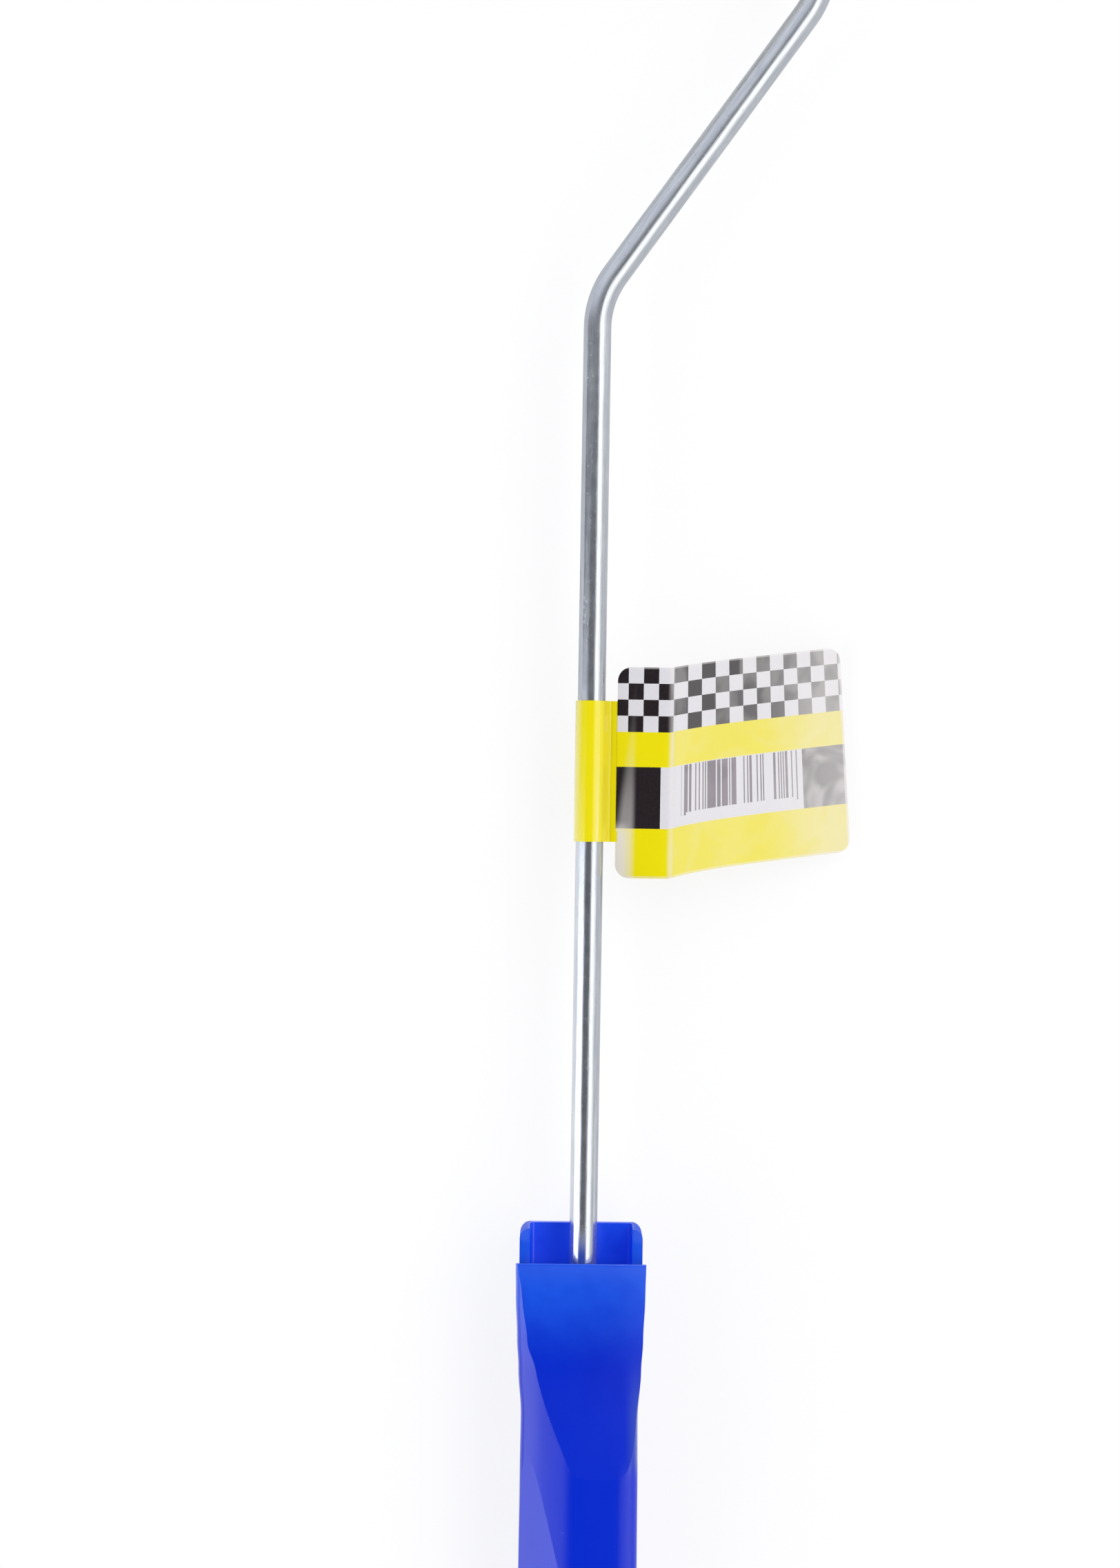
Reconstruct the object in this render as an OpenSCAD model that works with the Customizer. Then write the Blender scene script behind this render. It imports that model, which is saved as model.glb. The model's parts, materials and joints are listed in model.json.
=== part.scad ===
// Long-reach mini paint roller: a hollow moulded handle, a bent wire frame and a foam sleeve that
// spins on the wire's end. Millimetres. The wire's long shank runs along +Y from the handle to the
// roller, the frame lies in the XY plane and +Z is the face that the thumb rests on. The origin is
// the middle of the hanging hole in the handle's tail.

/* [Wire frame] */
// Diameter of the steel wire
wire_d = 6; // [5:0.5:7]
// Height of the first bend's corner above the front lip of the handle
shank_l = 209; // [150:1:260]
// Angle of both frame bends
bend_angle = 35.4; // [25:0.5:45]
// Centreline radius of the bend at the shank
shank_bend_r = 20; // [14:1:30]
// Centreline radius of the bend at the outer leg
leg_bend_r = 20; // [14:1:40]
// Sideways offset of the outer leg from the shank
leg_offset = 47.8; // [44:0.2:64]
// Straight part of the outer leg, below the corner to the axle
leg_l = 28; // [20:1:40]
// Centreline radius of the corner between the outer leg and the axle
axle_bend_r = 7; // [6:0.5:9]
// Length of wire that is gripped inside the handle
grip_l = 34; // [24:1:36]
// Width across the two flattened wings that stop the wire from turning
wing_w = 9; // [7.5:0.5:10]
// Thickness of the flattened wings
wing_t = 2; // [1.5:0.1:3]
// Length of the flattened wings
wing_l = 9; // [6:1:12]

/* [Roller sleeve] */
// Length of the sleeve over its two end plugs
sleeve_l = 100; // [80:1:110]
// Outer diameter of the foam
foam_d = 30; // [26:1:36]
// Radius on the rims of the foam
foam_rim_r = 4; // [1:0.5:6]
// How far the foam stops short of each end plug's face
foam_inset = 1; // [0.5:0.5:3]
// Outer diameter of the core tube
core_d = 15; // [13:0.5:17]
// Wall of the core tube
core_wall = 1.3; // [0.8:0.1:1.8]
// Length of each end plug inside the tube
plug_l = 11; // [9:1:20]
// Thickness of each end plug's flange
flange_t = 1.2; // [0.8:0.1:2]
// Depth of the recess for the clip in the outer plug
recess_l = 5; // [4:0.5:6]
// Wall round the recess
recess_wall = 1; // [0.6:0.1:1.4]
// Crown of the domed end cap
cap_crown = 1.6; // [1:0.1:3]

/* [Axle hardware] */
// Outer diameter of the stop washer
washer_d = 12; // [10:0.5:14]
// Thickness of the stop washer
washer_t = 1; // [0.6:0.1:1.5]
// Thickness of the push-on clip
clip_t = 0.7; // [0.5:0.1:1]
// Depth of the clip's groove in the axle
groove_depth = 0.5; // [0.3:0.1:0.7]
// Chamfer on the wire's two ends
tip_chamfer = 0.6; // [0.3:0.1:1]

/* [Handle] */
// Length from the hanging hole to the front lip of the mouth
handle_l = 112; // [100:1:130]
// Length of the tail beyond the hanging hole
tail_l = 11; // [9:0.5:14]
// Width at the mouth
mouth_w = 28.3; // [27.5:0.1:30]
// Width at the waist
waist_w = 25.3; // [24:0.1:27]
// Distance from the front lip to the waist
waist_drop = 33; // [28:1:40]
// Width at the palm
palm_w = 25.6; // [24:0.1:28]
// Width at the hanging hole
tail_w = 22; // [18:0.5:24]
// Height of the crown above the wire's axis
crown_z = 10.2; // [9.5:0.1:12]
// Angle at which the broad flank falls away from the crown, on the side of the sleeve's free end
flank_angle = 18; // [10:1:22]
// Where the broad flank starts, measured from the wire's axis towards that side
flank_start = 1.3; // [0:0.1:4]
// Angle of the scooped facets low on the broad flank
scoop_angle = 32; // [28:1:36]
// Distance from the hanging hole to the middle of the scoop
scoop_y = 34; // [30:1:40]
// Length of its level middle facet
scoop_l = 20; // [10:1:24]
// Distance from the wire's axis to the edge of the middle facet
scoop_edge = 3.5; // [3:0.1:6]
// Angle at which its two outer facets rise along the handle
scoop_rise = 3.6; // [2.4:0.2:5]
// Height of the thumb rest above the wire's axis before it rolls down to the lip
lip_z = 7; // [6.8:0.1:7.6]
// Depth of the back below the wire's axis at the mouth
back_z = 9.5; // [9:0.1:11]
// Thickness of the handle at the hanging hole
tail_t = 15; // [12:0.5:18]
// Diameter of the hanging hole
hang_d = 8; // [6:0.5:9]

/* [Mouth] */
// Wall of the hollow mouth
mouth_wall = 2.2; // [1.8:0.1:2.4]
// Height of the collar behind the wire above the front lip
collar_h = 7; // [4:0.5:10]
// How much narrower the collar is than the lip, on each side
collar_step = 0.8; // [0.5:0.1:1]
// Height of the collar's two front edges above the wire's axis
collar_edge_z = 3; // [2:0.1:3.4]
// Radius of the collar's two upper corners
collar_corner_r = 2.2; // [0.5:0.1:2.4]
// Depth of the open mouth below the front lip, down to the wire socket
mouth_depth = 12; // [8:1:16]
// Length of the thumb rest below the front lip
thumb_l = 46; // [38:1:50]
// Where the thumb rest breaks from its upper to its lower facet
thumb_break = 23; // [18:1:28]
// Depth of the crease between the two facets below the crown
thumb_break_depth = 3; // [2:0.1:3.4]
// Length over which the thumb rest rolls down to the front lip
lip_roll_l = 8; // [5:1:12]
// Angle that it rolls down to
lip_roll = 12; // [5:1:15]
// Chamfer on the outer edge of the front lip
lip_chamfer = 1.2; // [0.5:0.1:1.4]

/* [Wire socket] */
// Length of the socket block
socket_l = 38; // [36:1:44]
// Wall round the lightening pockets of the socket
socket_wall = 1.8; // [1.4:0.1:2.4]

/* [Label] */
// Height of the wrap that goes round the wire
wrap_h = 30.2; // [24:0.2:36]
// Height of the flag
flag_h = 45.9; // [38:0.1:50]
// Distance from the front lip to the middle of the label
label_rise = 106; // [80:1:140]
// Width of the flag's inner part, up to its fold
flag_inner_w = 11.6; // [8:0.2:16]
// Width of the flag's outer part
flag_outer_w = 41; // [30:0.2:46]
// Angle that the outer part hangs back from the fold
flag_turn = 18; // [5:1:19]
// Angle that the outer part rises towards its free end
flag_rise = 6.8; // [0:0.1:8]
// Angle that the free end leans back to the wire at its top
flag_lean = 3.9; // [0:0.1:6]
// Corner radius of the flag
flag_corner_r = 3; // [1:0.5:5]
// Thickness of the folded paper
paper_t = 0.4; // [0.3:0.1:0.6]

/* [Clearances] */
// Running clearance between the wire and the end plugs, on the radius
run_clear = 0.06; // [0.03:0.01:0.1]
// Clearance of fitted pieces that do not turn, on the radius
fit_clear = 0.03; // [0.02:0.01:0.05]
// End play between the sleeve and its stops
end_play = 0.25; // [0.2:0.05:0.4]

/* [Hidden] */
$fn = 64;
through = 60;               // longer than any piece that it cuts through
overlap = 0.5;              // how far joined shapes run into each other
bend_reach = 0.2;           // how far straight wire runs into a bend
bend_swell = 0.02;          // how much the wire swells at a bend, on the radius

wire_r = wire_d / 2;
lip_y = handle_l;
collar_y = lip_y + collar_h;

// Corners of the wire's path in the XY plane
shank_tangent = shank_bend_r * tan(bend_angle / 2);
leg_tangent = leg_bend_r * tan(bend_angle / 2);
shank_corner_y = lip_y + shank_l;
run_l = leg_offset / sin(bend_angle);
leg_corner_y = shank_corner_y + run_l * cos(bend_angle);
leg_start_y = leg_corner_y + leg_tangent;
axle_y = leg_start_y + leg_l + axle_bend_r;
axle_start_x = leg_offset - axle_bend_r;

// Socket and gripped wire end
socket_top = lip_y - mouth_depth;
wire_end_y = socket_top - grip_l;
wing_inset = 2;
wing_y = wire_end_y + wing_inset + wing_l / 2;
cavity_w = mouth_w - 2 * collar_step - 2 * mouth_wall;
front_room = 0.7;
cavity_front = wire_r + front_room;
cavity_back = back_z - mouth_wall;

// Places along the axle, from the inner end of the sleeve outwards
corner_gap = 0.1;
washer_x = axle_start_x - corner_gap - washer_t;
sleeve_in_x = washer_x - end_play;
sleeve_out_x = sleeve_in_x - sleeve_l;
plug_r = core_d / 2 - core_wall - fit_clear;
recess_r = plug_r - recess_wall;
recess_floor_x = sleeve_out_x + recess_l;
clip_x = recess_floor_x - end_play - clip_t;
groove_play = 0.1;
tip_l = 1.6;
tip_x = clip_x - groove_play - tip_l;
spigot_l = 0.9;

// Handle sections: height along Y, half width, front depth, back depth, squareness of the back and
// of the front, and how steeply the broad flank falls
belly_z = foam_d / 2;
palm_y = handle_l * 0.36;
widening = (mouth_w - waist_w) / 2;
fall = tan(flank_angle);
handle_stations = [
    [0, tail_w / 2, tail_t / 2, tail_t / 2, 2.6, 2.6, 0],
    [palm_y * 0.45, palm_w / 2, crown_z - 0.4, belly_z - 1.6, 2.8, 4.5, fall * 0.9],
    [palm_y, palm_w / 2, crown_z, belly_z, 3, 8, fall],
    [lip_y - waist_drop * 1.4, waist_w / 2 + 0.1, crown_z, back_z + 2.6, 3, 8, fall],
    [lip_y - waist_drop, waist_w / 2, crown_z, back_z + 1.2, 3, 8, fall],
    [lip_y - waist_drop * 0.7, waist_w / 2 + widening * 0.43, crown_z, back_z + 0.7, 3.2, 8,
     fall * 1.06],
    [lip_y - waist_drop * 0.5, waist_w / 2 + widening * 0.67, crown_z, back_z + 0.4, 3.6, 8,
     fall * 0.86],
    [lip_y - 7, mouth_w / 2 - 0.1, crown_z, back_z + 0.3, 4.5, 7, fall * 0.7],
    [lip_y, mouth_w / 2, crown_z, back_z + 0.3, 5, 7, fall * 0.67]];
flank_soft = 1;             // width over which the crown turns into the flank
rings_per_span = 4;
ring_points = 40;

// Distance beyond the flank's start, softened where it begins
function soft_beyond(d) = (d + sqrt(d * d + flank_soft * flank_soft)) / 2;

// Point of a section at angle a. The back is a superellipse, and the front a squarer one that falls
// away on its broad flank.
function section_point(s, a) =
    let (c = cos(a), n = sin(a), e = 2 / (n > 0 ? 3 : s[4]), u = sign(c) * pow(abs(c), e),
         drop = s[6] * soft_beyond(-flank_start - u * s[1]))
    [u * s[1], s[0], n > 0 ? (s[2] - drop) * pow(1 - pow(abs(u), s[5]), 1 / s[5])
                           : -pow(-n, e) * s[3]];

// Smooth step between two stations
function eased(t) = (1 - cos(180 * t)) / 2;
function between(a, b, t) =
    [for (i = [0 : 6]) i == 0 ? a[0] + (b[0] - a[0]) * t : a[i] + (b[i] - a[i]) * eased(t)];

// Rounded tail: rings shrink along a quarter circle beyond the hanging hole
function tail_ring(t) =
    let (s = handle_stations[0], k = cos(90 * t * 0.94))
    [-tail_l * sin(90 * t) / sin(90 * 0.94 + 5.4), s[1] * k, s[2] * (0.35 + 0.65 * k),
     s[3] * (0.35 + 0.65 * k), s[4], s[5], 0];

tail_steps = 7;
handle_rings = concat(
    [for (i = [tail_steps : -1 : 1]) tail_ring(i / tail_steps)],
    [for (i = [0 : len(handle_stations) - 2], j = [0 : rings_per_span - 1])
        between(handle_stations[i], handle_stations[i + 1], j / rings_per_span)],
    [handle_stations[len(handle_stations) - 1]]);

module loft(rings, n) {
    last = len(rings) - 1;
    points = [for (s = rings, j = [0 : n - 1]) section_point(s, 360 * (j + 0.5) / n)];
    sides = [for (i = [0 : last - 1], j = [0 : n - 1])
        [i * n + j, i * n + (j + 1) % n, (i + 1) * n + (j + 1) % n, (i + 1) * n + j]];
    start = [for (j = [n - 1 : -1 : 0]) j];
    end = [for (j = [0 : n - 1]) last * n + j];
    polyhedron(points, concat(sides, [start, end]));
}

// Rectangle with round corners, from its low corner to its high corner
module round_rect(low, high, r) {
    w = high[0] - low[0];
    h = high[1] - low[1];
    translate([low[0] + r, low[1]]) square([w - 2 * r, h]);
    translate([low[0], low[1] + r]) square([w, h - 2 * r]);
    for (x = [low[0] + r, high[0] - r], y = [low[1] + r, high[1] - r])
        translate([x, y]) circle(r);
}

// Stands a 2D shape drawn in X and Z on the height y, and extrudes it up to y + h
module along_y(y, h) {
    translate([0, y + h, 0]) rotate([90, 0, 0]) linear_extrude(h) children();
}

// Cylinder or ring about the axle, from x up to x + l
module on_axle(x, l, r) {
    translate([x, axle_y, 0]) rotate([0, 90, 0]) cylinder(h = l, r = r);
}

// Lathe about the axle: the profile is drawn as [distance from x = 0, radius]
module axle_lathe() {
    translate([0, axle_y, 0]) rotate([90, 0, 90]) rotate_extrude() children();
}

module cavity_outline() {
    round_rect([-cavity_w / 2, -cavity_back], [cavity_w / 2, cavity_front], 1);
}

// The hollow that takes the socket and stays empty below it
module handle_hollow() {
    tail_wall = 8;
    hollow_end = hang_d / 2 + tail_wall;
    shelf = 2;
    along_y(socket_top - socket_l, through + mouth_depth + socket_l) cavity_outline();
    along_y(hollow_end, socket_top - socket_l - hollow_end + overlap)
        round_rect([-cavity_w / 2 + shelf, -cavity_back + shelf / 2],
                   [cavity_w / 2 - shelf, cavity_front], 1);
}

// Extrudes a shape drawn in Y and Z to both sides, across the handle
module across_handle() {
    rotate([90, 0, 90]) translate([0, 0, -through / 2]) linear_extrude(through) children();
}

// What the thumb rest takes off the crown: a long facet up to a crease, a flatter one beyond it, and
// a roll down to the chamfered lip
module thumb_rest() {
    low_end = [lip_y - thumb_l, crown_z];
    crease = [lip_y - thumb_break, crown_z - thumb_break_depth];
    run_out = low_end + 1.5 * (low_end - crease);
    roll_r = lip_roll_l / sin(lip_roll);
    roll_steps = 6;
    roll = [for (i = [0 : roll_steps]) let (a = lip_roll * i / roll_steps)
        [lip_y - lip_chamfer - lip_roll_l + roll_r * sin(a), lip_z - roll_r * (1 - cos(a))]];
    edge_z = roll[roll_steps][1] - lip_chamfer;
    across_handle() polygon(concat([run_out, crease], roll,
        [[lip_y, edge_z], [lip_y + through, edge_z], [lip_y + through, through],
         [run_out[0], through]]));
}

// What the scoop takes off the broad flank: a level facet between two that rise to its ends
module flank_scoop() {
    edge_z = crown_z - fall * soft_beyond(scoop_edge - flank_start);
    low_z = edge_z * cos(scoop_angle) + scoop_edge * sin(scoop_angle);
    high_z = low_z + through * tan(scoop_rise);
    half_l = scoop_l / 2;
    rotate([0, -scoop_angle, 0]) translate([0, scoop_y, 0]) across_handle()
        polygon([[-half_l, low_z], [half_l, low_z], [half_l + through, high_z],
                 [half_l + through, through], [-half_l - through, through],
                 [-half_l - through, high_z]]);
}

// The collar behind the wire, which starts inside the handle
module collar() {
    half_w = mouth_w / 2 - collar_step;
    low_y = lip_y - 8;
    intersection() {
        along_y(low_y, collar_y - low_y) round_rect([-half_w, -back_z], [half_w, back_z], 2.5);
        translate([0, 0, -back_z - 1]) linear_extrude(back_z + 1 + collar_edge_z)
            round_rect([-half_w, low_y - 2 * collar_corner_r], [half_w, collar_y], collar_corner_r);
    }
}

module handle_body() {
    color("blue") difference() {
        union() {
            loft(handle_rings, ring_points);
            collar();
        }
        thumb_rest();
        flank_scoop();
        handle_hollow();
        translate([0, 0, -through / 2]) cylinder(h = through, r = hang_d / 2);
    }
}

module wire_socket() {
    low = socket_top - socket_l;
    pocket_in = wing_w / 2 + socket_wall;
    pocket_out = cavity_w / 2 - fit_clear - socket_wall;
    pocket_floor = 4;
    color("royalblue") difference() {
        along_y(low, socket_l)
            round_rect([-cavity_w / 2 + fit_clear, -cavity_back + fit_clear],
                       [cavity_w / 2 - fit_clear, cavity_front - fit_clear], 1);
        translate([0, socket_top + 1, 0]) rotate([90, 0, 0])
            cylinder(h = grip_l + 1 + fit_clear, r = wire_r + fit_clear);
        translate([-wing_w / 2 - fit_clear, wire_end_y - fit_clear, -wing_t / 2 - fit_clear])
            cube([wing_w + 2 * fit_clear, grip_l + 1, wing_t + 2 * fit_clear]);
        for (side = [-1, 1])
            translate([side > 0 ? pocket_in : -pocket_out, low + pocket_floor, -cavity_back + socket_wall])
                cube([pocket_out - pocket_in, socket_l, cavity_back + cavity_front - 2 * socket_wall]);
    }
}

// Bend of the wire in the XY plane. Bending swells the wire by a hair.
module wire_bend(centre, r, from, sweep) {
    translate([centre[0], centre[1], 0]) rotate([0, 0, from])
        rotate_extrude(angle = sweep) translate([r, 0]) circle(wire_r + bend_swell);
}

// Straight wire that reaches a little way into the bend at each end
module straight_wire(start, heading, l) {
    translate([start[0], start[1], 0]) rotate([0, 0, heading]) rotate([0, 90, 0])
        translate([0, 0, -bend_reach]) cylinder(h = l + 2 * bend_reach, r = wire_r);
}

module wire_frame() {
    run_heading = 90 - bend_angle;
    run_start = [shank_tangent * sin(bend_angle),
                 shank_corner_y + shank_tangent * cos(bend_angle)];
    color("silver") difference() {
        union() {
            translate([0, wire_end_y, 0]) rotate([-90, 0, 0]) {
                cylinder(h = tip_chamfer, r1 = wire_r - tip_chamfer, r2 = wire_r);
                translate([0, 0, tip_chamfer])
                    cylinder(h = shank_corner_y - shank_tangent - wire_end_y - tip_chamfer
                                 + bend_reach, r = wire_r);
            }
            translate([-wing_w / 2, wing_y - wing_l / 2, -wing_t / 2])
                cube([wing_w, wing_l, wing_t]);
            wire_bend([shank_bend_r, shank_corner_y - shank_tangent], shank_bend_r,
                      180 - bend_angle, bend_angle);
            straight_wire(run_start, run_heading, run_l - shank_tangent - leg_tangent);
            wire_bend([leg_offset - leg_bend_r, leg_start_y], leg_bend_r,
                      -bend_angle, bend_angle);
            straight_wire([leg_offset, leg_start_y], 90, leg_l);
            wire_bend([axle_start_x, axle_y - axle_bend_r], axle_bend_r, 0, 90);
            on_axle(tip_x + tip_chamfer, axle_start_x + bend_reach - tip_x - tip_chamfer, wire_r);
            translate([tip_x, axle_y, 0]) rotate([0, 90, 0])
                cylinder(h = tip_chamfer, r1 = wire_r - tip_chamfer, r2 = wire_r);
        }
        difference() {
            on_axle(clip_x - groove_play, clip_t + 2 * groove_play, wire_r + 1);
            on_axle(clip_x - 1, clip_t + 2, wire_r - groove_depth);
        }
    }
}

// Outline of the wrap in X and Z: a ring round the wire that closes to the flag's plane
module wrap_outline() {
    wrap_taper = 2.6;
    inner_r = wire_r + fit_clear;
    outer_r = inner_r + paper_t;
    apex = [outer_r + wrap_taper, 0];
    touch = acos(outer_r / apex[0]);
    difference() {
        union() {
            circle(outer_r);
            polygon([[0, 0], outer_r * [cos(touch), -sin(touch)], apex,
                     outer_r * [cos(touch), sin(touch)]]);
        }
        circle(inner_r);
    }
}

// Points that round off the corner at p, from the edge that comes from a to the edge that goes to b
function soft_corner(a, p, b, r) =
    let (t1 = p + r * (a - p) / norm(a - p), t2 = p + r * (b - p) / norm(b - p), n = 5)
    [for (i = [0 : n]) let (t = i / n) (1 - t) * (1 - t) * t1 + 2 * t * (1 - t) * p + t * t * t2];

// Half of the flag, from its straight edge at x = 0 to two round corners at low and high
module flag_half(low, high) {
    foot = [0, -flag_h / 2];
    head = [0, flag_h / 2];
    translate([0, 0, -paper_t / 2]) linear_extrude(paper_t)
        polygon(concat([head, foot], soft_corner(foot, low, high, flag_corner_r),
                       soft_corner(low, high, head, flag_corner_r)));
}

module price_label() {
    mid_y = lip_y + label_rise;
    fold_x = wire_r + paper_t + 2 + flag_inner_w;
    rise = flag_outer_w * tan(flag_rise);
    lean = flag_h / 2 * tan(flag_lean);
    color("gold") {
        along_y(mid_y - wrap_h / 2, wrap_h) wrap_outline();
        translate([fold_x + overlap / 4, mid_y, 0]) rotate([0, 180, 0])
            flag_half([flag_inner_w, -flag_h / 2], [flag_inner_w, flag_h / 2]);
        translate([fold_x, mid_y, 0]) rotate([0, flag_turn, 0])
            flag_half([flag_outer_w + lean, rise - flag_h / 2],
                      [flag_outer_w - lean, rise + flag_h / 2]);
    }
}

module stop_washer() {
    color("white") difference() {
        on_axle(washer_x, washer_t, washer_d / 2);
        on_axle(washer_x - 1, washer_t + 2, wire_r + fit_clear);
    }
}

module axle_clip() {
    rim_room = 0.4;
    clip_r = recess_r - rim_room;
    color("dimgray") difference() {
        on_axle(clip_x, clip_t, clip_r);
        on_axle(clip_x - 1, clip_t + 2, wire_r - groove_depth + fit_clear);
    }
}

module core_tube() {
    low = sleeve_out_x + flange_t;
    l = sleeve_l - 2 * flange_t;
    color("gainsboro") difference() {
        on_axle(low, l, core_d / 2);
        on_axle(low - 1, l + 2, core_d / 2 - core_wall);
    }
}

module foam_cover() {
    low = sleeve_out_x + flange_t + foam_inset;
    high = sleeve_in_x - flange_t - foam_inset;
    color("ivory") axle_lathe() difference() {
        intersection() {
            translate([0, low]) square([foam_d / 2, high - low]);
            round_rect([-foam_d / 2, low], [foam_d / 2, high], foam_rim_r);
        }
        translate([0, low - 1]) square([core_d / 2 + fit_clear, high - low + 2]);
    }
}

module inner_plug() {
    color("gray") difference() {
        union() {
            on_axle(sleeve_in_x - flange_t, flange_t, core_d / 2);
            on_axle(sleeve_in_x - flange_t - plug_l, plug_l + overlap, plug_r);
        }
        on_axle(sleeve_in_x - flange_t - plug_l - 1, plug_l + flange_t + 2, wire_r + run_clear);
    }
}

module outer_plug() {
    color("gray") difference() {
        union() {
            on_axle(sleeve_out_x, flange_t, core_d / 2);
            on_axle(sleeve_out_x + flange_t - overlap, plug_l + overlap, plug_r);
        }
        on_axle(sleeve_out_x - 1, plug_l + flange_t + 2, wire_r + run_clear);
        on_axle(sleeve_out_x - 1, recess_l + 1, recess_r);
    }
}

module end_cap() {
    rim_t = 0.6;
    cap_r = core_d / 2;
    dome_r = (cap_r * cap_r + cap_crown * cap_crown) / (2 * cap_crown);
    color("gray") axle_lathe() {
        translate([0, sleeve_out_x - rim_t]) square([cap_r, rim_t]);
        translate([0, sleeve_out_x - overlap / 2])
            square([recess_r - fit_clear, spigot_l + overlap / 2]);
        intersection() {
            translate([0, sleeve_out_x - rim_t - cap_crown]) square([cap_r, cap_crown + overlap / 2]);
            translate([0, sleeve_out_x - rim_t - cap_crown + dome_r]) circle(dome_r, $fn = 256);
        }
    }
}

handle_body();
wire_socket();
wire_frame();
price_label();
stop_washer();
axle_clip();
core_tube();
foam_cover();
inner_plug();
outer_plug();
end_cap();
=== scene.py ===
"""Looks of a long-reach mini paint roller: moulded handle, plated wire frame, folded paper label and
foam sleeve. Metres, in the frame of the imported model: the wire's shank runs along +Y on the axis
x = z = 0, and +Z is the face that the thumb rests on.
"""

import json
import math

import bmesh
import bpy
from mathutils import Matrix, Vector


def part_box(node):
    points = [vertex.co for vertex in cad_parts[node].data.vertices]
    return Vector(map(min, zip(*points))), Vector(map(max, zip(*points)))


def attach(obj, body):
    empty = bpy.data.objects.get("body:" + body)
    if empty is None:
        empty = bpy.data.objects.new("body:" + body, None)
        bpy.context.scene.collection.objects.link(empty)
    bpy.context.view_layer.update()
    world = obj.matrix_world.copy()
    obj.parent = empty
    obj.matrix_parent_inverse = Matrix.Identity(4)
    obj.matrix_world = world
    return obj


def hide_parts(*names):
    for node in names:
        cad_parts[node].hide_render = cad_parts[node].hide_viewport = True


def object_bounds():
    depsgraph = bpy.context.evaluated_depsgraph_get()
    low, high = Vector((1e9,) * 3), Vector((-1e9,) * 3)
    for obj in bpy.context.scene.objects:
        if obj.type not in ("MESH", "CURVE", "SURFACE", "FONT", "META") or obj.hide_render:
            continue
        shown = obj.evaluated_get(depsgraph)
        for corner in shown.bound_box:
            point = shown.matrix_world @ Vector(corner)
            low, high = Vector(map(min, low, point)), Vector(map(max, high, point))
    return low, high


MM = 0.001
TINY = 1e-6

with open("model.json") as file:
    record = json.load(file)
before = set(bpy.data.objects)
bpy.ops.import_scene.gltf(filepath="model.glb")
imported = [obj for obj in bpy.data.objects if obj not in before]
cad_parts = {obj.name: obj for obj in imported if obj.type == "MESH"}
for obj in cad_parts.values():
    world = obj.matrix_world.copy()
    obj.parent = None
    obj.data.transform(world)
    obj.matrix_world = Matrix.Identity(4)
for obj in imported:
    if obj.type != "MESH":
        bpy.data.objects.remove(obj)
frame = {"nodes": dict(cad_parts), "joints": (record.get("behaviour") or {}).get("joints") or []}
cad_low, cad_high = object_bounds()

# Places and sizes that the frame gives
wire_low, wire_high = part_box("wire_frame")
handle_low, handle_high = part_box("handle_body")
foam_low, foam_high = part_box("foam_cover")
cap_low, cap_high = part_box("end_cap")
washer_low, washer_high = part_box("stop_washer")
plug_low, plug_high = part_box("inner_plug")
SOCKET_LOW_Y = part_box("wire_socket")[0].y
OUTER_FACE_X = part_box("outer_plug")[0].x
AXLE_Y = frame["joints"][0]["pos_m"][1]
WIRE_R = 3 * MM
COLLAR_H = 7 * MM
LIP_Y = handle_high.y - COLLAR_H


# ---------------- modelling helpers


def deselect_all():
    for obj in bpy.context.selected_objects:
        obj.select_set(False)


def activate(obj):
    """Makes the object the active one, and the only one that is selected."""
    deselect_all()
    obj.select_set(True)
    bpy.context.view_layer.objects.active = obj


def named(name):
    """The primitive that was just added, under its own name."""
    obj = bpy.context.active_object
    obj.name = name
    obj.data.name = name
    return obj


def settle(obj):
    """Puts the object's turn and scale into its mesh, and the object at the origin."""
    bpy.context.view_layer.update()
    obj.data.transform(obj.matrix_world)
    obj.matrix_world = Matrix.Identity(4)
    return obj


class Shaping:
    """Edit mode on one object, with a tool that picks vertices, edges or faces by their place."""

    def __init__(self, obj):
        self.obj = obj

    def __enter__(self):
        activate(self.obj)
        bpy.ops.object.mode_set(mode="EDIT")
        return self

    def __exit__(self, *error):
        bpy.ops.object.mode_set(mode="OBJECT")
        deselect_all()

    def pick_all(self):
        bpy.ops.mesh.select_all(action="SELECT")

    def pick(self, kind, test):
        """Selects the elements of that kind (VERT, EDGE or FACE) that pass the test."""
        bpy.ops.mesh.select_mode(type=kind)
        bpy.ops.mesh.select_all(action="DESELECT")
        mesh = bmesh.from_edit_mesh(self.obj.data)
        for element in {"VERT": mesh.verts, "EDGE": mesh.edges, "FACE": mesh.faces}[kind]:
            element.select = test(element)
        mesh.select_flush_mode()
        bmesh.update_edit_mesh(self.obj.data)

    def chosen(self):
        return [v for v in bmesh.from_edit_mesh(self.obj.data).verts if v.select]

    def update(self):
        bmesh.update_edit_mesh(self.obj.data)

    def extrude(self, *step):
        bpy.ops.mesh.extrude_region_move(TRANSFORM_OT_translate={"value": step or (0, 0, 0)})

    def bevel(self, width, segments, kind="EDGES"):
        bpy.ops.mesh.bevel(offset=width, segments=segments, affect=kind, clamp_overlap=True)

    def outward(self, merge=True):
        """Merges doubles, if asked to, and turns every face outwards."""
        self.pick_all()
        if merge:
            bpy.ops.mesh.remove_doubles(threshold=TINY)
        bpy.ops.mesh.normals_make_consistent(inside=False)


def middle(edge):
    return (edge.verts[0].co + edge.verts[1].co) / 2


def runs_along(edge, axis):
    """Whether an edge is parallel to an axis, 0 for X, 1 for Y and 2 for Z."""
    d = edge.verts[1].co - edge.verts[0].co
    return abs(d[axis]) > 0.999 * d.length


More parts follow.
